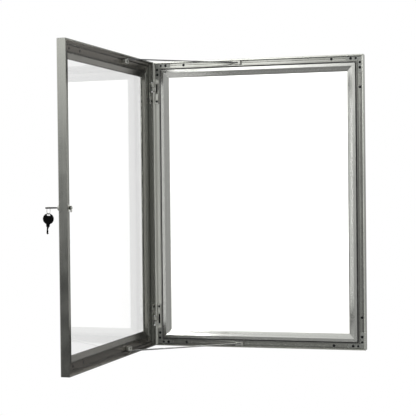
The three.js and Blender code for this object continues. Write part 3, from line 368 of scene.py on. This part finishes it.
def choose(made, kind, test):
    """In edit mode, selects the verts, edges or faces that pass a test."""
    bpy.ops.mesh.select_mode(type={"verts": "VERT", "edges": "EDGE", "faces": "FACE"}[kind])
    bpy.ops.mesh.select_all(action="DESELECT")
    cage = bmesh.from_edit_mesh(made.data)
    for item in getattr(cage, kind):
        item.select_set(bool(test(item)))
    cage.select_flush_mode()
    bmesh.update_edit_mesh(made.data)


def pull(way):
    """Extrudes what is selected along way."""
    bpy.ops.mesh.extrude_region_move(TRANSFORM_OT_translate={"value": tuple(way)})


def stretch_to(factors, centre=(0, 0, 0)):
    bpy.ops.transform.resize(value=factors, center_override=centre)


def apply_modifier(made, kind, **settings):
    pick(made)
    modifier = made.modifiers.new(kind.lower(), kind)
    for name, value in settings.items():
        setattr(modifier, name, value)
    bpy.ops.object.modifier_apply(modifier=modifier.name)


def combine(made, tool, operation):
    """Cuts, joins or keeps what two pieces share, and clears the tool away."""
    apply_modifier(made, "BOOLEAN", object=tool, operation=operation, solver="EXACT")
    bpy.data.objects.remove(tool)


def round_edges(made, width, segments=2, angle=30):
    apply_modifier(
        made, "BEVEL", width=width, segments=segments, limit_method="ANGLE", angle_limit=math.radians(angle),
        use_clamp_overlap=True, profile=0.5,
    )


def clean(made):
    """Merges doubles and turns every face outwards."""
    pick(made)
    bpy.ops.object.mode_set(mode="EDIT")
    bpy.ops.mesh.select_all(action="SELECT")
    bpy.ops.mesh.remove_doubles(threshold=0.001 * MM)
    bpy.ops.mesh.normals_make_consistent(inside=False)
    bpy.ops.object.mode_set(mode="OBJECT")


def turned(name, profile, steps=40):
    """A lathe piece about Z: each ring of (radius, height) in millimetres is drawn from the last."""
    radius, height = profile[0]
    made = start("circle", name, vertices=steps, radius=radius * MM)
    bpy.ops.mesh.select_all(action="SELECT")
    bpy.ops.transform.translate(value=(0, 0, height * MM))
    for next_radius, next_height in profile[1:]:
        pull((0, 0, (next_height - height) * MM))
        stretch_to((next_radius / radius, next_radius / radius, 1), (0, 0, next_height * MM))
        radius, height = next_radius, next_height
    bpy.ops.mesh.select_all(action="SELECT")
    bpy.ops.mesh.remove_doubles(threshold=0.001 * MM)
    bpy.ops.mesh.fill_holes(sides=0)
    clean(made)
    return made


def bar(name, x, y, z):
    """A bar between two places on each axis, in millimetres, left in edit mode."""
    made = start("cube", name, size=1)
    bpy.ops.mesh.select_all(action="SELECT")
    stretch_to(tuple((high - low) * MM for low, high in (x, y, z)))
    bpy.ops.transform.translate(value=tuple((high + low) / 2 * MM for low, high in (x, y, z)))
    bpy.ops.mesh.select_all(action="DESELECT")
    return made


def capsule(name, length, width, low, high):
    """A bar with round ends, long along X."""
    made = bar(name, (-length / 2, length / 2), (-width / 2, width / 2), (low, high))
    choose(made, "edges", lambda edge: abs((edge.verts[1].co - edge.verts[0].co).normalized().z) > 0.9)
    bpy.ops.mesh.bevel(offset=width / 2 * MM * 0.999, segments=10, affect="EDGES")
    clean(made)
    return made


def pick(*pieces):
    """In object mode, selects pieces and makes the first one active."""
    bpy.ops.object.mode_set(mode="OBJECT")
    bpy.ops.object.select_all(action="DESELECT")
    for one in pieces:
        one.select_set(True)
    bpy.context.view_layer.objects.active = pieces[0]


def put(made, place):
    """Moves a piece to its place and leaves the place in its mesh."""
    pick(made)
    made.matrix_world = place
    bpy.ops.object.transform_apply(location=True, rotation=True, scale=True)
    return made


def copy_at(made, places, name):
    """Copies a piece to places, each with its own mesh, and joins the copies."""
    copies = []
    for place in places:
        pick(made)
        bpy.ops.object.duplicate(linked=False)
        copies.append(put(bpy.context.object, place))
    pick(*copies)
    if len(copies) > 1:
        bpy.ops.object.join()
    whole = bpy.context.object
    whole.name = whole.data.name = name
    return whole


def hand_over(made, body, slot, finish, *nodes):
    """Gives a finished piece its material, the body it moves with and the nodes it stands for."""
    pick(made)
    bpy.ops.object.shade_smooth_by_angle(angle=math.radians(32))
    made.data.materials.clear()
    made.data.materials.append(finish)
    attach(made, body)
    if nodes:
        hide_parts(*nodes)


def place_mm(x, y, z):
    return Matrix.Translation(Vector((x, y, z)) * MM)


def spun(degrees, axis):
    return Matrix.Rotation(math.radians(degrees), 4, axis)


TO_FRONT = spun(90, "X")
TO_WALL = spun(-90, "X")


def cross_screw(name, radius, rise, recess):
    """The showing part of a raised countersunk screw: a low dome with a cross recess."""
    head = turned(name, [
        (radius * 0.9, -0.2), (radius, 0.02), (radius * 0.97, rise * 0.35), (radius * 0.78, rise * 0.78),
        (radius * 0.5, rise),
    ], 32)
    arm, reach = radius * 0.13, radius * 0.62
    cross = bar("cross", (-arm, arm), (-arm, arm), (recess, rise * 3))
    for way in (Vector((1, 0, 0)), Vector((-1, 0, 0)), Vector((0, 1, 0)), Vector((0, -1, 0))):
        choose(cross, "faces", lambda face: face.normal.dot(way) > 0.9 and face.calc_center_median().dot(way) > 0)
        pull(way * (reach - arm) * MM)
    clean(cross)
    combine(head, cross, "DIFFERENCE")
    return head


# ---------------------------------------------------------------- settings

def colour_setting(name, description, code):
    """A colour that a user can change, from its sRGB hex value."""
    return FloatVectorProperty(
        name=name, description=description, default=linear(code)[:3], min=0, max=1, size=3, subtype="COLOR",
    )


class NoticeBoardSettings(PropertyGroup):
    metal: colour_setting("Metal", "Colour of the anodised rails and stiles", "#a1a29c")
    bead: colour_setting("Beads", "Colour of the strips round the display panel", "#c9cac5")
    panel: colour_setting("Display panel", "Colour of the board that notices are pinned to", "#f4f4f2")
    pane: colour_setting("Pane", "Tint of the clear pane", "#f8f8f8")
    back: colour_setting("Back", "Colour of the sheet behind", "#b4b5b3")
    rubber: colour_setting("Seals", "Colour of the gasket and the hinge seal", "#2a2a29")
    cast: colour_setting("Fittings", "Colour of the cast hinge leaves, brackets and lock", "#c2c3bc")
    screw: colour_setting("Screws", "Colour of the blackened screws", "#2b2c2e")
    # The same black serves the pieces that stand in for the shade in the hinge leaves' slots
    keys: colour_setting("Keys", "Colour of the moulded keys and hinge inserts", "#030303")
    edge_radius: FloatProperty(
        name="Edge radius", description="How far the metal's edges are rounded",
        default=0.25 * MM, min=0, max=1 * MM, unit="LENGTH", precision=5,
    )
    screw_radius: FloatProperty(
        name="Screw radius", description="Radius of the heads of the cleat screws",
        default=3.15 * MM, min=2 * MM, max=3.3 * MM, unit="LENGTH", precision=5,
    )
    ring_wire: FloatProperty(
        name="Ring wire", description="Radius of the key ring's wire",
        default=0.26 * MM, min=0.2 * MM, max=0.5 * MM, unit="LENGTH", precision=5,
    )
    lens: FloatProperty(
        name="Lens", description="The camera's focal length", default=103.63, min=20, max=300, unit="CAMERA",
    )
    floor_drop: FloatProperty(
        name="Floor drop", description="How far the floor lies under the board's middle",
        default=0.9, min=0.4, max=3, unit="LENGTH",
    )


class NOTICEBOARD_OT_rails(Operator):
    """Finishes the rails of the case and the door, and the strips that hold the panel and the pane"""
    bl_idname = "noticeboard.rails"
    bl_label = "Rails"

    def execute(self, context):
        settings = context.scene.notice_board
        self.case(settings)
        self.door(settings)
        return {"FINISHED"}

    @staticmethod
    def case(settings):
        # The case's base is the metal made 1.5 times lighter, 2.1 times on the lock stile, as a painted highlight on
        # the lips; the bands paint the shade elsewhere
        for name, way, light, bands, matt, nodes in (
            ("anodised_rail", "x", 1.5, CASE_LIGHT_BANDS, 0, ("case_rail_top", "case_rail_bottom")),
            ("anodised_lock_stile", "z", 2.1, LOCK_LIGHT_BANDS, 0, ("case_stile_lock",)),
            ("matt_anodised_hinge_stile", "z", 1.5, HINGE_LIGHT_BANDS, 0.5, ("case_stile_hinge",)),
        ):
            def paint_light(*parts, bands=bands):
                return section_light_bands(*parts, bands)

            give(nodes, extruded_aluminium(name, shaded(settings.metal, light), SATIN, way, paint_light, matt))
        for way, sides in (("x", ("top", "bottom")), ("z", ("lock", "hinge"))):
            give([f"panel_bead_{side}" for side in sides],
                 extruded_aluminium("satin_bead", settings.bead, (0.16, 0.22), way))

    @staticmethod
    def door(settings):
        inwards = -(SHUT_TO_OPEN.to_3x3() @ Vector((0, -1, 0)))
        lip = inwards.dot(SHUT_TO_OPEN @ Vector((0, -DOOR_PLANE, 0)))
        centre = tuple(SHUT_TO_OPEN @ Vector((0, -DOOR_PLANE, 0)))
        # Each tint below is painted shade on the faces that look into the case, away from the light: the lock side's
        # reaches 3 mm onto its lip, and the top and bottom pane beads get a darker tint than the upright ones
        for name, way, level, shade_tint, banded, nodes in (
            ("anodised_door_rail", "door", 0, "#b8b0ab", True, ("door_rail_top", "door_rail_bottom")),
            ("anodised_door_stile", "z", 0, "#dcdddb", False, ("door_stile_hinge",)),
            ("anodised_lock_side", "z", 3 * MM, "#9b9a97", True, ("door_stile_lock",)),
            ("anodised_pane_bead", "door", 0, "#6f6c69", False, ("glazing_bead_top", "glazing_bead_bottom")),
            ("anodised_pane_bead", "z", 0, "#b2b1af", False, ("glazing_bead_lock", "glazing_bead_hinge")),
        ):
            def paint_light(tree, place, tint, level=level, shade_tint=shade_tint, banded=banded):
                filmed = inside_shade(tree, place, tint, tuple(inwards), lip + level, shade_tint)
                return section_light_bands(tree, place, filmed, DOOR_SHADE_BANDS, centre) if banded else filmed

            give(nodes, extruded_aluminium(name, settings.metal, SATIN, way, paint_light))


class NOTICEBOARD_OT_panels(Operator):
    """Finishes the display panel, the back, the gasket and the pane"""
    bl_idname = "noticeboard.panels"
    bl_label = "Panels and pane"

    def execute(self, context):
        settings = context.scene.notice_board
        give(["display_panel"], coated_sheet("enamelled_board", settings.panel, 0.42, 1.5 * MM))
        give(["back_panel"], coated_sheet("coated_steel_sheet", settings.back, 0.5, 1.2 * MM))
        give(["bead_gasket", "hinge_seal"], extruded_rubber(settings.rubber))
        give(["glazing"], cast_acrylic(settings.pane))
        return {"FINISHED"}


class NOTICEBOARD_OT_fittings(Operator):
    """Finishes the cleats, the hinges, the stays and the lock"""
    bl_idname = "noticeboard.fittings"
    bl_label = "Fittings"

    def execute(self, context):
        settings = context.scene.notice_board
        zinc = plated_steel("bright_zinc_plate", linear("#a3a5a0"), (0.3, 0.45))
        blackened = plated_steel("blackened_steel", linear("#36373a"), (0.3, 0.5), 0.5)
        # The stay arms' faces that look up take a lighter colour: a painted highlight for the light from above
        dulled = plated_steel("dulled_steel", linear("#66676a"), (0.28, 0.4), lit_top=linear("#d5d6d2"))
        cast = plated_steel("die_cast_alloy", settings.cast, (0.25, 0.38), 0.7)
        nickel = plated_steel("polished_nickel", linear("#d9d8d1"), (0.12, 0.2), 0.82)
        nylon = moulded_nylon(settings.keys)
        black = plated_steel("black_zinc_plate", settings.screw, (0.3, 0.42), 0.45)
        give([f"{kind}_cleat_{i}" for kind in ("case", "door") for i in (1, 2, 3, 4)], blackened)
        for end, _ in TOP_AND_BOTTOM:
            give([f"hinge_leaf_case_{end}", f"hinge_leaf_door_{end}", f"stay_bracket_{end}",
                  f"stay_slider_{end}"], cast)
            give([f"stay_arm_{end}"], dulled)
            give([f"hinge_pin_{end}", f"stay_pin_{end}"], zinc)
            give([f"stay_screw_{end}", f"slider_pin_{end}"], black)
        give(["lock_barrel"], cast)
        give(["lock_nut", "lock_cam", "cam_screw"], zinc)
        give(["lock_plug", "key_ring"], nickel)
        give(["key", "spare_key", "hinge_bush_top", "hinge_bush_bottom"], nylon)
        return {"FINISHED"}


class NOTICEBOARD_OT_screws(Operator):
    """Models the cross recessed screws of the corner cleats, the corner plates and the hinge leaves"""
    bl_idname = "noticeboard.screws"
    bl_label = "Screws"

    def execute(self, context):
        black = FINISHES["black_zinc_plate"]
        master = cross_screw("screw", context.scene.notice_board.screw_radius / MM, 0.26, 0.03)
        front = [
            place_mm(x, -CASE_SCREW_HEIGHT, z) @ TO_FRONT for x, z in self.corners(CHANNEL_MIDDLE, CASE_SCREW_ENDS)
        ]
        inwards = [
            SHUT_TO_OPEN @ place_mm(x, -DOOR_SCREW_HEIGHT, z) @ TO_WALL
            for x, z in self.corners(DOOR_SCREW_INSET, DOOR_SCREW_ENDS)
        ]
        hand_over(copy_at(master, front, "case_cleat_screws"), "case", "zinc_plated_steel", black)
        hand_over(copy_at(master, inwards, "door_cleat_screws"), "door", "zinc_plated_steel", black)
        bpy.data.objects.remove(master)

        master = cross_screw("screw", 2.95, 1.25, 0.73)
        case = [
            place_mm(CASE_LEAF_X, -19.7, sign * LEAF_SCREW_LEVEL) @ TO_FRONT for _, sign in TOP_AND_BOTTOM
        ]
        door = [
            SHUT_TO_OPEN @ place_mm(DOOR_LEAF_X, -26.9, sign * LEAF_SCREW_LEVEL) @ TO_WALL
            for _, sign in TOP_AND_BOTTOM
        ]
        hand_over(copy_at(master, case, "case_leaf_screws"), "case", "zinc_plated_steel", black)
        hand_over(copy_at(master, door, "door_leaf_screws"), "door", "zinc_plated_steel", black)
        bpy.data.objects.remove(master)

        master = cross_screw("screw", 2.7, 0.9, 0.35)
        front = [
            place_mm(x, -PLATE_FACE, z) @ TO_FRONT for x, z in self.corners(CHANNEL_MIDDLE, PLATE_SCREW_ENDS)
        ]
        hand_over(copy_at(master, front, "corner_plate_screws"), "case", "zinc_plated_steel", black)
        bpy.data.objects.remove(master)
        return {"FINISHED"}

    @staticmethod
    def corners(inset, ends):
        """Places of the screws on both sides of each corner, in millimetres."""
        across, upright = HALF_WIDTH / MM, HALF_HEIGHT / MM
        for x in (-1, 1):
            for z in (-1, 1):
                for end in ends:
                    yield x * (across - end), z * (upright - inset)
                    yield x * (across - inset), z * (upright - end)


class NOTICEBOARD_OT_corners(Operator):
    """Models the bright corner plates in the case's channel, each with a hole round a cleat screw on both legs"""
    bl_idname = "noticeboard.corners"
    bl_label = "Corner plates"

    def execute(self, context):
        near, far, reach, low, high = -4.5, -13.1, -41, CHANNEL_FLOOR, PLATE_FACE
        plate = bar("corner_plate", (reach, near), (far, near), (low, high))
        clean(plate)
        upright = bar("leg", (far, near), (reach, near), (low, high))
        combine(plate, upright, "UNION")
        end, hole_radius = CASE_SCREW_ENDS[0], 3.35
        for hole in ((-end, -CHANNEL_MIDDLE), (-CHANNEL_MIDDLE, -end)):
            drill = turned("drill", [(hole_radius, 10), (hole_radius, 20)], 32)
            combine(plate, put(drill, place_mm(*hole, 0)), "DIFFERENCE")
        clean(plate)
        round_edges(plate, 0.12 * MM)
        corners = []
        for x, z, quarter in ((1, 1, 0), (-1, 1, 1), (-1, -1, 2), (1, -1, 3)):
            middle = Matrix.Translation((x * HALF_WIDTH, 0, z * HALF_HEIGHT))
            corners.append(middle @ TO_FRONT @ spun(90 * quarter, "Z"))
        whole = copy_at(plate, corners, "corner_plates")
        bpy.data.objects.remove(plate)
        hand_over(whole, "case", "zinc_plated_steel", FINISHES["bright_zinc_plate"])
        return {"FINISHED"}


class NOTICEBOARD_OT_hinges(Operator):
    """Models the domed hinge pins, and black pieces in the slots of the hinge leaves that paint the shade in them"""
    bl_idname = "noticeboard.hinges"
    bl_label = "Hinges"

    def execute(self, context):
        steel = FINISHES["bright_zinc_plate"]
        nylon = FINISHES["moulded_nylon"]
        for end, sign in TOP_AND_BOTTOM:
            low, high = (sign * HINGE_LEVEL - 9.8, sign * HINGE_LEVEL + 9.8)
            pin = turned(f"domed_pin_{end}", [
                (0.95, low - 0.3), (1.25, low), (1.25, high + 0.3), (2.6, high + 0.3), (2.6, high + 0.75),
                (2.2, high + 1.1), (1.3, high + 1.3),
            ])
            pin = put(pin, Matrix.Translation(HINGE))
            hand_over(pin, "case", "zinc_plated_steel", steel, f"hinge_pin_{end}")
            # Black pieces in the leaves' slots stand in for the shade in them
            master = capsule("insert", 22.8, 3.1, 0, 1.2)
            round_edges(master, 0.3 * MM)
            upright = spun(90, "Y") @ spun(90, "X")
            case = place_mm(CASE_LEAF_X, -18.1, sign * LEAF_SLOT_LEVEL) @ upright
            insert = copy_at(master, [case], f"case_leaf_insert_{end}")
            hand_over(insert, "case", "black_plastic", nylon)
            door = SHUT_TO_OPEN @ place_mm(DOOR_LEAF_X, -28.8, sign * LEAF_SLOT_LEVEL) @ upright
            insert = copy_at(master, [door], f"door_leaf_insert_{end}")
            hand_over(insert, "door", "black_plastic", nylon)
            bpy.data.objects.remove(master)
        return {"FINISHED"}


class NOTICEBOARD_OT_lock(Operator):
    """Models the lock's turned barrel and its nut"""
    bl_idname = "noticeboard.lock"
    bl_label = "Lock"

    def execute(self, context):
        cast = FINISHES["die_cast_alloy"]
        steel = FINISHES["bright_zinc_plate"]
        place = SHUT_TO_OPEN @ Matrix.Translation((LOCK_X, 0, 0)) @ TO_FRONT
        barrel = turned("turned_barrel", [
            (4.1, 25.8), (5.7, 25.8), (6, 26.1), (6, 44.9), (8.7, 44.9), (8.7, 45.9), (8.5, 46.25), (8.1, 46.4),
            (6.9, 46.4), (6.55, 46.55), (6.35, 46.9), (5.45, 49.1), (5.15, 49.5), (4.75, 49.6), (4.4, 49.5),
            (4.1, 49.2), (4.1, 25.8),
        ], 56)
        hand_over(put(barrel, place), "door", "die_cast_zinc", cast, "lock_barrel")

        nut = start("cylinder", "chamfered_nut", vertices=6, radius=8.2 * MM, depth=2.2 * MM)
        clean(nut)
        crown = turned("crown", [(7.2, -1.1), (8.2, -0.55), (8.2, 0.55), (7.2, 1.1)], 48)
        combine(nut, crown, "INTERSECT")
        combine(nut, turned("bore", [(6.1, -2), (6.1, 2)], 48), "DIFFERENCE")
        nut = put(nut, place @ place_mm(0, 0, 29.2))
        hand_over(nut, "door", "zinc_plated_steel", steel, "lock_nut")
        return {"FINISHED"}


class NOTICEBOARD_OT_keys(Operator):
    """Models the key, the spare and the ring between them"""
    bl_idname = "noticeboard.keys"
    bl_label = "Keys"

    def execute(self, context):
        nylon = FINISHES["moulded_nylon"]
        master = self.key()
        across, height = KEY_HOLE
        in_lock = SHUT_TO_OPEN @ place_mm(LOCK_X / MM, -66.15, 0) @ spun(90, "Z")
        hand_over(copy_at(master, [in_lock], "moulded_key"), "key", "black_plastic", nylon, "key")
        hang = (
            SHUT_TO_OPEN @ place_mm(across, -height, -13.5) @ spun(-4, "X") @ spun(10, "Z")
            @ place_mm(0, 0, -8.7) @ spun(90, "Y")
        )
        hand_over(copy_at(master, [hang], "moulded_spare"), "spare", "black_plastic", nylon, "spare_key")
        bpy.data.objects.remove(master)

        radius = context.scene.notice_board.ring_wire
        wire = start("torus", "wire", major_segments=64, minor_segments=12, major_radius=8 * MM,
                     minor_radius=radius)
        clean(wire)
        level = SHUT_TO_OPEN @ place_mm(across, -height, -5.5) @ TO_FRONT
        ring = copy_at(wire, [level @ place_mm(0, 0, side * (radius / MM - 0.01)) for side in (-1, 1)], "split_ring")
        bpy.data.objects.remove(wire)
        hand_over(ring, "ring", "nickel_plate", FINISHES["polished_nickel"], "key_ring")
        return {"FINISHED"}

    @staticmethod
    def key():
        """Bow at the origin and blade along +X: a round bow with a raised rim, a neck and a cut blade."""
        bow = turned("key_master", [
            (7.9, 1.05), (8.5, 1.45), (10.4, 1.45), (11.0, 1.15), (11.25, 0.6), (11.25, -0.6), (11.0, -1.15),
            (10.4, -1.45), (8.5, -1.45), (7.9, -1.05),
        ], 56)
        neck = bar("neck", (9.5, 16.2), (-4, 4), (-1.4, 1.4))
        choose(neck, "faces", lambda face: face.normal.x > 0.9)
        stretch_to((1, 0.82, 0.85), (16.2 * MM, 0, 0))
        clean(neck)
        round_edges(neck, 0.5 * MM, 3)
        combine(bow, neck, "UNION")

        blade = bar("blade", (15.5, 31.2), (-2, 2), (-1, 1))
        for station in (17.5, 19, 20.2, 21.6, 22.8, 24.2, 25.4, 27, 29.2):
            bpy.ops.mesh.select_all(action="SELECT")
            bpy.ops.mesh.bisect(plane_co=(station * MM, 0, 0), plane_no=(1, 0, 0))
        for station, depth in ((19, 0.9), (20.2, 0.9), (21.6, 1.5), (22.8, 1.5), (24.2, 0.6), (25.4, 0.6), (27, 1.2)):
            choose(blade, "verts", lambda point: point.co.y > 1.9 * MM and abs(point.co.x - station * MM) < 0.1 * MM)
            bpy.ops.transform.translate(value=(0, -depth * MM, 0))
        choose(blade, "faces", lambda face: face.normal.x > 0.9)
        stretch_to((1, 0.4, 0.7), (31.2 * MM, 0, 0))
        for side in (1, -1):
            choose(blade, "faces", lambda face: face.normal.z * side > 0.9)
            bpy.ops.mesh.inset(thickness=0.55 * MM, depth=-0.3 * MM)
        clean(blade)
        combine(bow, blade, "UNION")

        hole = capsule("hole", 7.6, 3, -3, 3)
        hole.matrix_world = place_mm(-7.9, 0, 0) @ spun(90, "Z")
        combine(bow, hole, "DIFFERENCE")
        clean(bow)
        return bow


class NOTICEBOARD_OT_stays(Operator):
    """Models the domed rivets of the stays"""
    bl_idname = "noticeboard.stays"
    bl_label = "Stays"

    def execute(self, context):
        steel = FINISHES["bright_zinc_plate"]
        black = FINISHES["black_zinc_plate"]
        for end, sign in TOP_AND_BOTTOM:
            edge = sign * HALF_HEIGHT / MM
            inwards = spun(90 - 90 * sign, "X") @ spun(180, "X")
            rivet = turned(f"slider_rivet_{end}", [
                (1.2, 3.6), (2.2, 3.75), (2.5, 4.2), (1.5, 4.2), (1.5, 13.4), (2.3, 13.4), (2.0, 13.75), (1.1, 13.9),
            ])
            across, height = SLIDER_PIVOT
            place = place_mm(across, -height, edge) @ inwards
            hand_over(put(rivet, place), f"slider_{end}", "zinc_plated_steel", black, f"slider_pin_{end}")
            pin = turned(f"stay_rivet_{end}", [
                (1.3, 6.3), (2.3, 6.5), (2.8, 6.95), (2.8, 7.5), (1.5, 7.5), (1.5, 18.7), (1.2, 19),
            ])
            across, height = BRACKET_PIVOT
            place = SHUT_TO_OPEN @ place_mm(across, -height, edge) @ inwards
            hand_over(put(pin, place), "door", "zinc_plated_steel", steel, f"stay_pin_{end}")
        return {"FINISHED"}


class NOTICEBOARD_OT_edges(Operator):
    """Rounds the sharp edges of the metal"""
    bl_idname = "noticeboard.edges"
    bl_label = "Edges"

    def execute(self, context):
        width = context.scene.notice_board.edge_radius
        rails = [f"{part}_{side}" for part in ("case", "door") for side in (
            "rail_top", "rail_bottom", "stile_lock", "stile_hinge",
        )]
        beads = [f"{part}_{side}" for part in ("panel_bead", "glazing_bead") for side in EDGES]
        small = [f"{part}_{end}" for end, _ in TOP_AND_BOTTOM for part in (
            "hinge_leaf_case", "hinge_leaf_door", "stay_bracket", "stay_slider", "stay_arm",
        )]
        soften(rails + small + ["lock_cam", "lock_plug"], width)
        soften(beads, 5 * width, 7)
        return {"FINISHED"}


class NOTICEBOARD_OT_stage(Operator):
    """Sets the floor, the lights and the camera"""
    bl_idname = "noticeboard.stage"
    bl_label = "Stage"

    def execute(self, context):
        settings = context.scene.notice_board
        context.scene.view_settings.view_transform = "Standard"
        self.floor(settings)
        self.room(context)
        self.lamp("key", (-0.9, -2.4, 1.6), 1.6, 60)
        self.lamp("fill", (1.6, -2.0, 0.6), 1.6, 70)
        self.camera(context, settings)
        return {"FINISHED"}

    @staticmethod
    def floor(settings):
        bpy.ops.object.select_all(action="DESELECT")
        bpy.ops.mesh.primitive_plane_add(size=2.0, location=(0, 0.5, -settings.floor_drop))
        floor = bpy.context.object
        floor.name = "floor"
        white = linear("#e9e8e4")
        paint, tree, place = new_material("pale_floor", white)
        floor.data.materials.append(
            closed(paint, {"Base Color": white}, {"Roughness": mottle(tree, place, 0.4, 0.75, 0.9)})
        )

    @staticmethod
    def room(context):
        """What the metal mirrors: four sides that differ by height. The camera sees plain white."""
        world = bpy.data.worlds.new("studio")
        context.scene.world = world
        world.use_nodes = True
        tree = world.node_tree
        tree.nodes.clear()
        way = add_node(tree, "ShaderNodeTexCoord").outputs["Generated"]
        axes = add_node(tree, "ShaderNodeSeparateXYZ", links={"Vector": way})
        height = add_node(
            tree, "ShaderNodeMapRange", {"From Min": -0.5, "From Max": 0.5}, {"Value": axes.outputs["Z"]},
        )
        left, front, right, back = (
            add_node(tree, "ShaderNodeValToRGB", links={"Fac": height},
                     stops=[(place, grey(value)) for place, value in side])
            for side in (ROOM_LEFT, ROOM_FRONT, ROOM_RIGHT, ROOM_BACK)
        )
        across = add_node(
            tree, "ShaderNodeMapRange", {"From Min": -0.5, "From Max": 0.0}, {"Value": axes.outputs["X"]},
        )
        screen = add_node(
            tree, "ShaderNodeValToRGB", links={"Fac": across},
            stops=[(place, grey(value)) for place, value in FRONT_SCREEN],
        )
        front = add_node(
            tree, "ShaderNodeMix", {0: 1.0}, {6: front, 7: screen}, data_type="RGBA", blend_type="MULTIPLY",
        ).outputs[2]
        shown = left
        for axis, low, high, side in (
            ("X", -0.75, -0.5, front), ("X", -0.26, -0.15, right), ("Y", 0.0, 0.35, back),
        ):
            share = add_node(
                tree, "ShaderNodeMapRange", {"From Min": low, "From Max": high}, {"Value": axes.outputs[axis]},
            )
            shown = add_node(
                tree, "ShaderNodeMix", links={0: share, 6: shown, 7: side}, data_type="RGBA",
            ).outputs[2]
        rays = add_node(tree, "ShaderNodeLightPath")
        seen = add_node(
            tree, "ShaderNodeMath", links={0: rays.outputs["Is Camera Ray"], 1: rays.outputs["Is Transmission Ray"]},
            operation="MAXIMUM",
        )
        strength = add_node(
            tree, "ShaderNodeMapRange", {"To Min": ROOM_STRENGTH, "To Max": 1.0}, {"Value": seen},
        )
        shown = add_node(
            tree, "ShaderNodeMix", {7: grey(1.0)}, {0: seen, 6: shown}, data_type="RGBA",
        ).outputs[2]
        shine = add_node(tree, "ShaderNodeBackground", links={"Color": shown, "Strength": strength})
        add_node(tree, "ShaderNodeOutputWorld", links={"Surface": shine})

    @staticmethod
    def lamp(name, place, size, power):
        bpy.ops.object.light_add(type="AREA", location=place)
        lamp = bpy.context.object
        lamp.name = name
        lamp.data.size = size
        lamp.data.energy = power
        lamp.visible_glossy = False
        lamp.rotation_euler = (-Vector(place)).to_track_quat("-Z", "Y").to_euler()

    @staticmethod
    def camera(context, settings):
        yaw, pitch, roll = (math.radians(part) for part in CAMERA_TURNS)
        ahead = Vector((math.sin(yaw) * math.cos(pitch), math.cos(yaw) * math.cos(pitch), math.sin(pitch)))
        level = Vector((math.cos(yaw), -math.sin(yaw), 0))
        up = level.cross(ahead)
        right = math.cos(roll) * level + math.sin(roll) * up
        up = -math.sin(roll) * level + math.cos(roll) * up
        turn = Matrix((right, up, -ahead)).transposed()
        bpy.ops.object.camera_add(location=CAMERA_PLACE, rotation=turn.to_euler())
        camera = context.object
        camera.name = "camera"
        camera.data.sensor_width = SENSOR_WIDTH
        camera.data.lens = settings.lens
        camera.data.clip_start = 0.05
        context.scene.camera = camera


class NOTICEBOARD_PT_panel(Panel):
    """Lists the settings and the steps in the 3D view's sidebar"""
    bl_label = "Notice Board"
    bl_idname = "NOTICEBOARD_PT_panel"
    bl_space_type = "VIEW_3D"
    bl_region_type = "UI"
    bl_category = "Notice Board"

    def draw(self, context):
        for name in NoticeBoardSettings.__annotations__:
            self.layout.prop(context.scene.notice_board, name)
        for operator in STEPS:
            self.layout.operator(operator.bl_idname)


STEPS = (
    NOTICEBOARD_OT_rails, NOTICEBOARD_OT_panels, NOTICEBOARD_OT_fittings, NOTICEBOARD_OT_screws,
    NOTICEBOARD_OT_corners, NOTICEBOARD_OT_hinges, NOTICEBOARD_OT_lock, NOTICEBOARD_OT_keys,
    NOTICEBOARD_OT_stays, NOTICEBOARD_OT_edges, NOTICEBOARD_OT_stage,
)
CLASSES = (NoticeBoardSettings, *STEPS, NOTICEBOARD_PT_panel)


def register():
    for item in CLASSES:
        bpy.utils.register_class(item)
    bpy.types.Scene.notice_board = PointerProperty(type=NoticeBoardSettings)


def unregister():
    del bpy.types.Scene.notice_board
    for item in reversed(CLASSES):
        bpy.utils.unregister_class(item)


def main():
    register()
    for operator in STEPS:
        group, name = operator.bl_idname.split(".")
        getattr(getattr(bpy.ops, group), name)()


if __name__ == "__main__":
    main()
